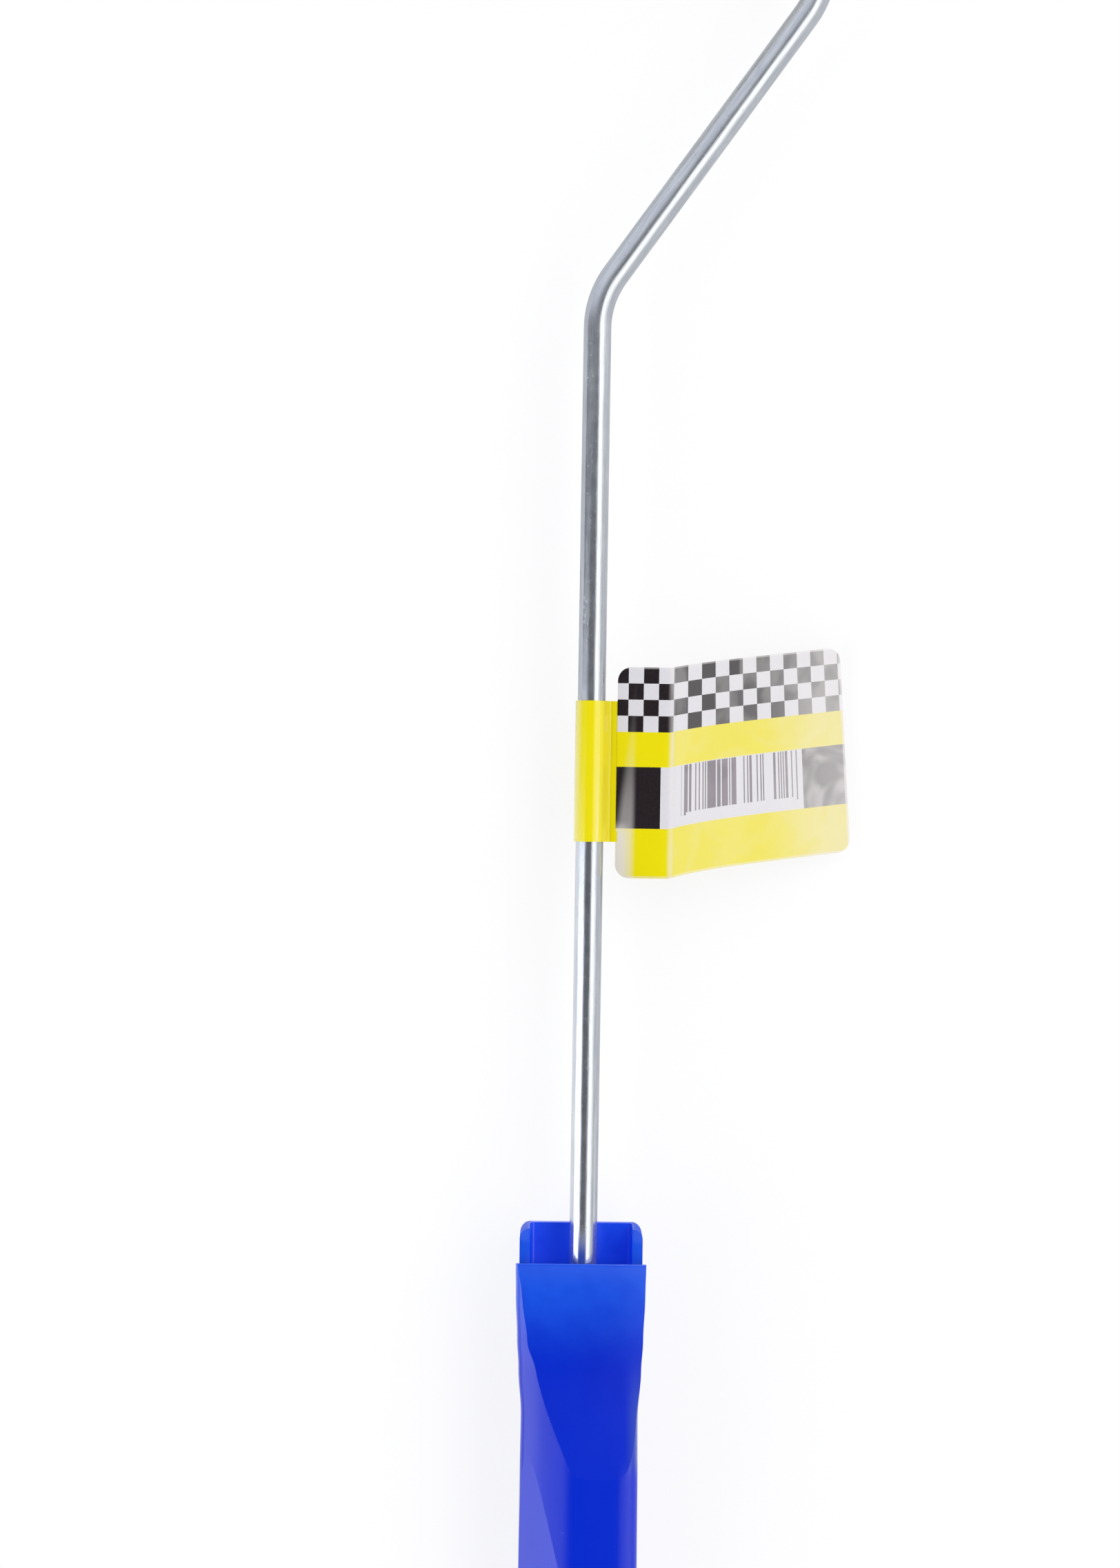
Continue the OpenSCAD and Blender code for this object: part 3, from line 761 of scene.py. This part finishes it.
def scoop_tool():
    """A block whose underside is three facets, a level one between two that rise to its ends."""
    flank_z = CROWN_Z - FALL * soft_beyond(SCOOP_EDGE - FLANK_START)
    low_z = flank_z * math.cos(SCOOP_ANGLE) + SCOOP_EDGE * math.sin(SCOOP_ANGLE)
    reach = 60 * MM
    tool = block("scoop_tool", (-reach / 2, -SCOOP_L / 2, low_z), (reach / 2, SCOOP_L / 2, reach))
    with Shaping(tool) as shaping:
        for side in (-1, 1):
            shaping.pick("FACE", lambda f: f.normal.y * side > 0.9)
            shaping.extrude(0, side * reach, 0)
            for v in shaping.chosen():
                if v.co.z < reach / 2:
                    v.co.z += reach * SCOOP_RISE
            shaping.update()
    tool.matrix_world = Matrix.Translation((0, SCOOP_Y, 0)) @ Matrix.Rotation(-SCOOP_ANGLE, 4, "Y")
    return settle(tool)


def block(name, low, high):
    """A box from its low corner to its high corner."""
    bpy.ops.mesh.primitive_cube_add(size=1, location=(Vector(low) + Vector(high)) / 2)
    obj = named(name)
    obj.scale = Vector(high) - Vector(low)
    return settle(obj)


def collar_block():
    """The collar behind the wire: round corners, and a round rim along its edges and its top."""
    top = LIP_Y + COLLAR_H
    low_y = LIP_Y - COLLAR_SUNK
    collar = block("collar", (-COLLAR_HALF, low_y, -BACK_Z), (COLLAR_HALF, top, COLLAR_EDGE_Z))
    with Shaping(collar) as shaping:
        shaping.pick("EDGE", lambda e: runs_along(e, 1) and middle(e).z < 0)
        shaping.bevel(COLLAR_BACK_R, 6)
    upright = block("upright", (-COLLAR_HALF, low_y - 1 * MM, -TOOL_REACH), (COLLAR_HALF, top, TOOL_REACH))
    with Shaping(upright) as shaping:
        shaping.pick("EDGE", lambda e: runs_along(e, 2) and middle(e).y > LIP_Y)
        shaping.bevel(COLLAR_CORNER_R, 10)
    combine(collar, upright, "INTERSECT")
    combine(collar, hollow_tool(0.02 * MM), "DIFFERENCE")
    with Shaping(collar) as shaping:
        shaping.outward()
        shaping.pick("EDGE", lambda e: on_rim(e, 2, COLLAR_EDGE_Z) or on_rim(e, 1, top))
        shaping.bevel(COLLAR_RIM_R, 4)
    return collar


def on_rim(edge, axis, level):
    """Whether an edge bounds the flat face that looks along the axis at that level."""
    facing = [abs(face.normal[axis]) for face in edge.link_faces]
    return abs(middle(edge)[axis] - level) < TINY and max(facing) > 0.9 and min(facing) < 0.1


def hollow_tool(margin=0.0):
    """The handle's cavity, as wide as it is plus a margin."""
    tool = block("hollow", (-CAVITY_HALF - margin, SOCKET_LOW_Y, -CAVITY_BACK - margin),
                 (CAVITY_HALF + margin, LIP_Y + TOOL_REACH, CAVITY_FRONT))
    with Shaping(tool) as shaping:
        shaping.pick("EDGE", lambda e: runs_along(e, 1))
        shaping.bevel(CAVITY_R, 4)
    return tool


def hole_tool():
    bpy.ops.mesh.primitive_cylinder_add(vertices=64, radius=HANG_R, depth=3 * TOOL_REACH)
    return named("hang_tool")


def is_sharp(edge):
    """Whether an edge is a corner, or a cut's border with more than a slight turn."""
    if len(edge.link_faces) != 2:
        return False
    a, b = edge.link_faces
    angle = a.normal.angle(b.normal, 0)
    return angle > math.radians(40) or (a.material_index != b.material_index and angle > math.radians(4))


def make_handle():
    """The handle: loft and collar joined, cut by four tools, and rounded along its sharp edges."""
    body = handle_loft()
    collar = collar_block()
    tools = [thumb_tool(), scoop_tool(), hollow_tool(), hole_tool()]
    for piece in (body, collar):
        two_materials(piece, 0)
    combine(body, collar, "UNION")
    for tool in tools:
        two_materials(tool, 1)
        combine(body, tool, "DIFFERENCE")
    mesh = bmesh.new()
    mesh.from_mesh(body.data)
    bmesh.ops.remove_doubles(mesh, verts=mesh.verts, dist=2 * TINY)
    bevel = mesh.edges.layers.float.new("bevel_weight_edge")
    for edge in mesh.edges:
        edge[bevel] = 1.0 if is_sharp(edge) else 0.0
    mesh.to_mesh(body.data)
    mesh.free()
    apply_modifier(body, "BEVEL", limit_method="WEIGHT", width=EDGE_ROUND, segments=3,
                   use_clamp_overlap=True)
    # the handle sits a hair askew on the wire
    body.data.transform(Matrix.Rotation(ASKEW, 4, "Z"))
    smooth(body, 28)
    return dress(body, handle_plastic(), "handle_plastic", "frame", "handle_body")


# ---------------- wire

SHANK_BEND = math.radians(35.4)
SHANK_L = 209 * MM
SHANK_BEND_R = 20 * MM
LEG_BEND_R = 20 * MM
AXLE_BEND_R = 7 * MM
LEG_X = wire_high.x - WIRE_R
SHANK_CORNER_Y = LIP_Y + SHANK_L
RUN_L = LEG_X / math.sin(SHANK_BEND)
TIP_CHAMFER = 0.6 * MM
GROOVE_DEPTH = 0.5 * MM
GROOVE_L = 0.9 * MM
GROOVE_STEP = 0.02 * MM
TIP_L = 1.6 * MM


class WirePath:
    """Draws the wire as a ring that is extruded and spun, and notes how far along each ring lies."""

    def __init__(self, shaping, start_radius):
        self.shaping = shaping
        self.along = 0.0
        self.radius = start_radius
        mesh = bmesh.from_edit_mesh(shaping.obj.data)
        turn = mesh.verts.layers.float_vector.new("straight")
        for v in mesh.verts:
            angle = math.atan2(v.co.z, v.co.x)
            v[turn] = Vector((WIRE_R * math.cos(angle), 0, WIRE_R * math.sin(angle)))

    def _note(self):
        mesh = bmesh.from_edit_mesh(self.shaping.obj.data)
        turn = mesh.verts.layers.float_vector["straight"]
        for v in mesh.verts:
            if v.select:
                v[turn].y = self.along
        self.shaping.update()

    def straight(self, heading, length, steps=1):
        for _ in range(steps):
            self.shaping.extrude(*(heading * length / steps))
            self.along += length / steps
            self._note()

    def bend(self, centre, radius, angle, steps=18):
        """Positive angles turn to the left of the wire's way."""
        for _ in range(steps):
            bpy.ops.mesh.spin(steps=1, angle=abs(angle) / steps, center=centre,
                              axis=(0, 0, -math.copysign(1, angle)))
            self.along += radius * abs(angle) / steps
            self._note()

    def widen(self, radius):
        """Scales the ring about its own middle."""
        ring = self.shaping.chosen()
        centre = sum((v.co for v in ring), Vector()) / len(ring)
        for v in ring:
            v.co = centre + (v.co - centre) * radius / self.radius
        self.radius = radius
        self.shaping.update()


def make_wire():
    """The wire from its end in the handle, over its two bends and the axle's corner, to its tip."""
    bend_reach = SHANK_BEND_R * math.tan(SHANK_BEND / 2)
    leg_reach = LEG_BEND_R * math.tan(SHANK_BEND / 2)
    run_heading = Vector((math.sin(SHANK_BEND), math.cos(SHANK_BEND), 0))
    bend_y = SHANK_CORNER_Y - bend_reach
    leg_y = SHANK_CORNER_Y + RUN_L * math.cos(SHANK_BEND) + leg_reach
    axle_start = LEG_X - AXLE_BEND_R
    groove_x = wire_low.x + TIP_L + GROOVE_L
    bpy.ops.mesh.primitive_circle_add(vertices=56, radius=WIRE_R - TIP_CHAMFER, fill_type="NGON",
                                      location=(0, wire_low.y, 0), rotation=(math.pi / 2, 0, 0))
    wire = settle(named("wire"))
    up, left = Vector((0, 1, 0)), Vector((-1, 0, 0))
    with Shaping(wire) as shaping:
        shaping.pick_all()
        path = WirePath(shaping, WIRE_R - TIP_CHAMFER)
        path.straight(up, TIP_CHAMFER)
        path.widen(WIRE_R)
        path.straight(up, bend_y - wire_low.y - TIP_CHAMFER, 8)
        path.bend((SHANK_BEND_R, bend_y, 0), SHANK_BEND_R, -SHANK_BEND)
        path.straight(run_heading, RUN_L - bend_reach - leg_reach, 3)
        path.bend((LEG_X - LEG_BEND_R, leg_y, 0), LEG_BEND_R, SHANK_BEND)
        path.straight(up, AXLE_Y - AXLE_BEND_R - leg_y, 2)
        path.bend((axle_start, AXLE_Y - AXLE_BEND_R, 0), AXLE_BEND_R, math.pi / 2, 28)
        path.straight(left, axle_start - groove_x, 4)
        path.straight(left, GROOVE_STEP)
        path.widen(WIRE_R - GROOVE_DEPTH)
        path.straight(left, GROOVE_L - 2 * GROOVE_STEP)
        path.straight(left, GROOVE_STEP)
        path.widen(WIRE_R)
        path.straight(left, TIP_L - TIP_CHAMFER)
        path.straight(left, TIP_CHAMFER)
        path.widen(WIRE_R - TIP_CHAMFER)
        shaping.outward(merge=False)
    smooth(wire, 35)
    return dress(wire, zinc_wire(), "zinc_wire", "frame", "wire_frame")


# ---------------- label

PAPER = 0.34 * MM
WRAP_H = 30.6 * MM
WRAP_STEPS = 12
WRAP_R = WIRE_R + 0.43 * MM
MEET_X = WIRE_R + 1.3 * MM
LABEL_Y = LIP_Y + 106 * MM
WRAP_LOW = LABEL_Y - 15.1 * MM
FLAG_X = WIRE_R + 2.65 * MM
FLAG_TURN = math.radians(18)
FLAG_RISE = math.radians(6.8)
FLAG_LEAN = math.radians(3.9)
FOLD_L = 3.6 * MM
SPRING_L = 8 * MM
SPRING_UP = 1.05 * MM
NARROWING = 0.018
CURL = 1.3 * MM
CURL_REACH = 14 * MM
WAVES_START = 12 * MM
CORNER_R = 3 * MM
NECK_X = FLAG_X + 0.3 * MM


def make_wrap():
    """The part of the label round the wire: a ring drawn out to a neck, where its two layers meet."""
    bpy.ops.mesh.primitive_circle_add(vertices=96, radius=WRAP_R, fill_type="NOTHING",
                                      location=(0, WRAP_LOW, 0), rotation=(math.pi / 2, 0, 0))
    wrap = settle(named("label_wrap"))
    touch = math.acos(WRAP_R / MEET_X)
    with Shaping(wrap) as shaping:
        shaping.pick_all()
        for v in shaping.chosen():
            angle = math.atan2(v.co.z, v.co.x)
            if abs(angle) < touch:
                # the paper leaves the ring along its tangent, meets its other layer and runs flat
                t = 2 * abs(angle) / touch
                start = Vector((WRAP_R * math.cos(touch), v.co.y, WRAP_R * math.sin(touch)))
                meet = Vector((MEET_X - 0.2 * MM, v.co.y, PAPER * 0.5))
                end = Vector((NECK_X, v.co.y, PAPER * 0.2))
                point = meet.lerp(start, t - 1) if t > 1 else end.lerp(meet, t)
                v.co = Vector((point.x, point.y, math.copysign(point.z, angle)))
        shaping.update()
        for _ in range(WRAP_STEPS):
            shaping.extrude(0, WRAP_H / WRAP_STEPS, 0)
    with Shaping(wrap) as shaping:
        shaping.outward(merge=False)
    store_print(wrap, lambda co: (co.x - FLAG_X, LABEL_Y + FLAG_H / 2 - co.y, -1.0))
    apply_modifier(wrap, "SOLIDIFY", thickness=PAPER, offset=-1.0)
    smooth(wrap, 50)
    return wrap


def store_print(obj, rule):
    """Keeps each vertex's place on the printed sheet, before the sheet is bent."""
    layer = obj.data.attributes.new("print", "FLOAT_VECTOR", "POINT")
    for number, v in enumerate(obj.data.vertices):
        layer.data[number].vector = rule(v.co)


def fold(s):
    """Where the sheet runs: (x, drop) at a distance s from its left edge."""
    start = INNER_W - FOLD_L / 2
    if s <= start:
        return s, 0.0
    radius = FOLD_L / FLAG_TURN
    angle = min((s - start) / radius, FLAG_TURN)
    x = start + radius * math.sin(angle)
    drop = radius * (1 - math.cos(angle))
    rest = max(s - start - FOLD_L, 0)
    return x + rest * math.cos(FLAG_TURN), drop + rest * math.sin(FLAG_TURN)


def bend_sheet(s, t):
    """Place of a sheet point, with s across from the left edge and t up from the middle."""
    x, drop = fold(s)
    beyond = max(s - INNER_W, 0)
    lean = -t * math.tan(FLAG_LEAN) * min(beyond / OUTER_W, 1)
    # beyond the fold the sheet springs up and narrows a little
    spring = 1 - math.exp(-beyond / SPRING_L)
    y = t * (1 - NARROWING * spring) + SPRING_UP * spring + beyond * math.tan(FLAG_RISE)
    # the lower left corner curls back a little, and the outer part is wavy
    corner = max(0, 1 - (s + (t + FLAG_H / 2)) / CURL_REACH)
    waves = 0.28 * MM * math.sin(s / (9 * MM) + t / (16 * MM))
    waves += 0.16 * MM * math.sin(t / (7 * MM) - s / (21 * MM))
    z = -drop - CURL * corner**2 + waves * min(beyond / WAVES_START, 1)
    return Vector((FLAG_X + x + lean, LABEL_Y + y, z))


def make_flag():
    """The flag: a sheet with round corners, cut into a fine grid and then folded and curled."""
    bpy.ops.mesh.primitive_plane_add(size=1)
    flag = named("label_flag")
    flag.scale = (FLAG_W, FLAG_H, 1)
    settle(flag)
    with Shaping(flag) as shaping:
        shaping.pick_all()
        shaping.bevel(CORNER_R, 8, "VERTICES")
        for normal, size, count in (((1, 0, 0), FLAG_W, 88), ((0, 1, 0), FLAG_H, 72)):
            for i in range(1, count):
                shaping.pick_all()
                place = Vector(normal) * (-size / 2 + size * i / count)
                bpy.ops.mesh.bisect(plane_co=place, plane_no=normal)
    store_print(flag, lambda co: (co.x + FLAG_W / 2, FLAG_H / 2 - co.y, 1.0))
    for v in flag.data.vertices:
        v.co = bend_sheet(v.co.x + FLAG_W / 2, v.co.y)
    apply_modifier(flag, "SOLIDIFY", thickness=PAPER, offset=0.0)
    mark_back(flag)
    smooth(flag, 50)
    return flag


def mark_back(flag):
    """The sheet's back carries no bars: its third print coordinate is 0."""
    flag.data.update()
    layer = flag.data.attributes["print"]
    for v in flag.data.vertices:
        if v.normal.z < 0:
            x, y, _ = layer.data[v.index].vector
            layer.data[v.index].vector = (x, y, 0.0)


def make_label():
    paper = label_print()
    wrap, flag = make_wrap(), make_flag()
    dress(flag, paper, "label_paper", "frame", "price_label")
    return dress(wrap, paper, "label_paper", "frame")


# ---------------- sleeve

FOAM_UNEVEN = 0.25 * MM


def turned(name, outline, steps=72):
    """A piece turned about the axle. The outline is a list of (x, radius)."""
    bpy.ops.mesh.primitive_circle_add(vertices=len(outline), radius=1, fill_type="NOTHING")
    obj = named(name)
    with Shaping(obj) as shaping:
        mesh = bmesh.from_edit_mesh(obj.data)
        mesh.verts.ensure_lookup_table()
        for v, (x, r) in zip(mesh.verts, outline):
            v.co = Vector((x, AXLE_Y, r))
        shaping.update()
        shaping.pick_all()
        bpy.ops.mesh.spin(steps=steps, angle=2 * math.pi, center=(0, AXLE_Y, 0), axis=(1, 0, 0))
        shaping.outward()
    return obj


def arc(centre_x, centre_r, radius, start, end, steps):
    """Points (x, radius) along an arc of the outline, from start to end in degrees."""
    angles = [math.radians(start + (end - start) * i / steps) for i in range(steps + 1)]
    return [(centre_x + radius * math.cos(a), centre_r + radius * math.sin(a)) for a in angles]


def make_foam():
    """The foam sleeve: round rims, slightly uneven like cut foam."""
    outer = (foam_high.z - foam_low.z) / 2
    inner = 7.55 * MM
    inner_step = 1.5 * MM
    rim = 4 * MM
    low, high = foam_low.x, foam_high.x
    steps = 44
    side = [(low + rim + (high - low - 2 * rim) * i / steps, outer) for i in range(1, steps)]
    outline = arc(low + rim, outer - rim, rim, 180, 90, 8) + side
    outline += arc(high - rim, outer - rim, rim, 90, 0, 8)
    outline += [(high, inner + inner_step), (high, inner), (low, inner), (low, inner + inner_step)]
    foam = turned("foam", outline, steps=160)
    texture = bpy.data.textures.new("foam_unevenness", "CLOUDS")
    texture.noise_scale = 6 * MM
    apply_modifier(foam, "DISPLACE", texture=texture, strength=FOAM_UNEVEN, mid_level=1.0,
                   texture_coords="LOCAL")
    smooth(foam, 60)
    return dress(foam, roller_foam(), "roller_foam", "sleeve", "foam_cover")


def make_end_cap(material):
    """The domed cap with a small moulding dimple in its middle and a broken edge at its rim."""
    rim_r = (cap_high.z - cap_low.z) / 2
    crown = OUTER_FACE_X - 0.6 * MM - cap_low.x
    dome_r = (rim_r**2 + crown**2) / (2 * crown)
    dimple_r, dimple_x = 0.9 * MM, cap_low.x + 0.35 * MM
    first_r, last_r = 1.2 * MM, rim_r - 0.25 * MM
    spigot_r, edge = 5.1 * MM, 0.2 * MM
    steps = 14
    radii = [first_r + (last_r - first_r) * i / steps for i in range(steps + 1)]
    outline = [(dimple_x, 0.0), (dimple_x, dimple_r)]
    outline += [(cap_low.x + dome_r - math.sqrt(dome_r**2 - r**2), r) for r in radii]
    outline += [(OUTER_FACE_X - 0.55 * MM, rim_r), (OUTER_FACE_X - edge, rim_r),
                (OUTER_FACE_X, rim_r - edge), (OUTER_FACE_X, spigot_r), (cap_high.x, spigot_r),
                (cap_high.x, 0.0)]
    cap = turned("end_cap_dome", outline)
    smooth(cap, 32)
    return dress(cap, material, "plug_plastic", "sleeve", "end_cap")


def make_inner_plug(material):
    """The plug at the axle's corner: a flange with a ring groove round its running bore."""
    face_x = plug_high.x
    bore_r = WIRE_R + 0.06 * MM
    flange_r = (plug_high.z - plug_low.z) / 2
    barrel_r = 6.17 * MM
    flange_x = face_x - 1.2 * MM
    groove_x = face_x - 0.4 * MM
    edge = 0.3 * MM
    outline = [(face_x, bore_r + edge), (face_x, 4.4 * MM), (groove_x, 4.6 * MM), (groove_x, 5.6 * MM),
               (face_x, 5.8 * MM), (face_x, flange_r - edge), (face_x - edge, flange_r),
               (flange_x, flange_r), (flange_x, barrel_r), (plug_low.x, barrel_r), (plug_low.x, bore_r),
               (face_x - edge, bore_r)]
    plug = turned("inner_end_plug", outline)
    smooth(plug, 32)
    return dress(plug, material, "plug_plastic", "sleeve", "inner_plug")


def make_washer():
    face, back = washer_high.x, washer_low.x
    outer, inner, edge = 6 * MM, WIRE_R + 0.03 * MM, 0.2 * MM
    outline = [(back, inner), (back, outer - edge), (back + edge, outer), (face - edge, outer),
               (face, outer - edge), (face, inner)]
    washer = turned("nylon_washer", outline)
    smooth(washer, 32)
    return dress(washer, nylon(), "washer_nylon", "frame", "stop_washer")


def dress_kept_nodes(plug_material):
    """The pieces inside keep their own meshes and get their materials."""
    kept = {"wire_socket": socket_plastic(), "axle_clip": spring_steel(), "core_tube": core_plastic(),
            "outer_plug": plug_material}
    for name, material in kept.items():
        node = frame["nodes"][name]
        node.data.materials.clear()
        node.data.materials.append(material)


# ---------------- studio

FLOOR_SIZE = 6
FLOOR_Y = 0.2
CAMERA_X = -6.6 * MM
CAMERA_Y = LIP_Y + 103.3 * MM
CAMERA_HEIGHT = 700 * MM
CAMERA_ROLL = math.radians(0.91)
LENS = 73.9
SENSOR = 36.0


def make_floor():
    """A pale floor. The camera sees it white, with its soft shadows kept, and so do mirror images in
    metal and plastic from the label down, on the wire's left and on both sides of the handle."""
    bpy.ops.mesh.primitive_plane_add(size=FLOOR_SIZE, location=(0, FLOOR_Y, cad_low.z))
    floor = settle(named("floor"))
    f, place = new_finish("pale_floor")
    plain = f.node("ShaderNodeBsdfDiffuse", None, {"Color": (0.7, 0.7, 0.7, 1)})[0]
    lit = f.node("ShaderNodeBsdfDiffuse", None, {"Color": (0.18, 0.18, 0.186, 1)})[0]
    glow = f.node("ShaderNodeEmission", None, {"Color": (1, 1, 1, 1), "Strength": 0.835})[0]
    white = f.node("ShaderNodeAddShader", None, {0: lit, 1: glow})[0]
    path = f.node("ShaderNodeLightPath")
    camera, glossy, transmission = path[0], path[3], path[6]
    sideways, along, _ = f.split(place)
    left = sideways.ramp(20 * MM, -20 * MM) * along.ramp(LABEL_Y + 24 * MM, LABEL_Y - 11 * MM)
    mirrored = left.math("MAXIMUM", along.ramp(LIP_Y + 10 * MM, LIP_Y - 20 * MM))
    seen = camera + glossy * mirrored + transmission
    surface = f.node("ShaderNodeMixShader", None, {0: seen, 1: plain, 2: white})[0]
    f.node("ShaderNodeOutputMaterial", None, {"Surface": surface})
    floor.data.materials.append(f.owner)


def make_world():
    """A bright soft panel on the right and one low on the left, a dimmer one high on the left, and a
    dark stretch overhead. The light depends on the angle round Y, in degrees from straight up."""
    world = bpy.data.worlds.new("studio")
    bpy.context.scene.world = world
    f = Finish(world)
    x, y, z = f.split(f.node("ShaderNodeTexCoord")[0])
    turn = x.math("ARCTAN2", z) * (180 / math.pi)
    other = turn * -1
    lower = y.ramp(0.01, -0.035)
    right = turn.ramp(12, 34) * turn.ramp(34, 76, 1.9, 0.58)
    lower_left = other.ramp(28, 46) * other.ramp(84, 104, 2.5, 0.8)
    upper_left = other.ramp(88, 128, 0, 0.62)
    overhead = y.ramp(0.04, 0.44, 0.03, 0.78)
    strength = overhead + right + lower * lower_left + (1.0 - lower) * upper_left
    tint = f.mix(turn.ramp(-10, 20), (0.94, 0.97, 1.05), (1.0, 1.0, 1.0))
    lit = f.node("ShaderNodeBackground", None, {"Color": tint, "Strength": strength})[0]
    plain = f.node("ShaderNodeBackground", None, {"Color": (1, 1, 1, 1), "Strength": 1.0})[0]
    seen = f.node("ShaderNodeLightPath")[0]
    surface = f.node("ShaderNodeMixShader", None, {0: seen, 1: lit, 2: plain})[0]
    f.node("ShaderNodeOutputWorld", None, {"Surface": surface})


def make_camera():
    """Straight above the tool, turned a little about the line of sight."""
    data = bpy.data.cameras.new("camera")
    data.lens = LENS
    data.sensor_width = SENSOR
    data.clip_start = 0.01
    data.clip_end = 20
    camera = bpy.data.objects.new("camera", data)
    bpy.context.scene.collection.objects.link(camera)
    camera.location = (CAMERA_X, CAMERA_Y, CAMERA_HEIGHT)
    camera.rotation_euler = (0, 0, CAMERA_ROLL)
    bpy.context.scene.camera = camera


# ---------------- the scene

deselect_all()
make_camera()
make_floor()
make_world()
make_handle()
make_wire()
make_label()
make_foam()
plug = plug_plastic()
make_end_cap(plug)
make_inner_plug(plug)
make_washer()
dress_kept_nodes(plug)

bpy.context.scene.view_settings.view_transform = "Standard"
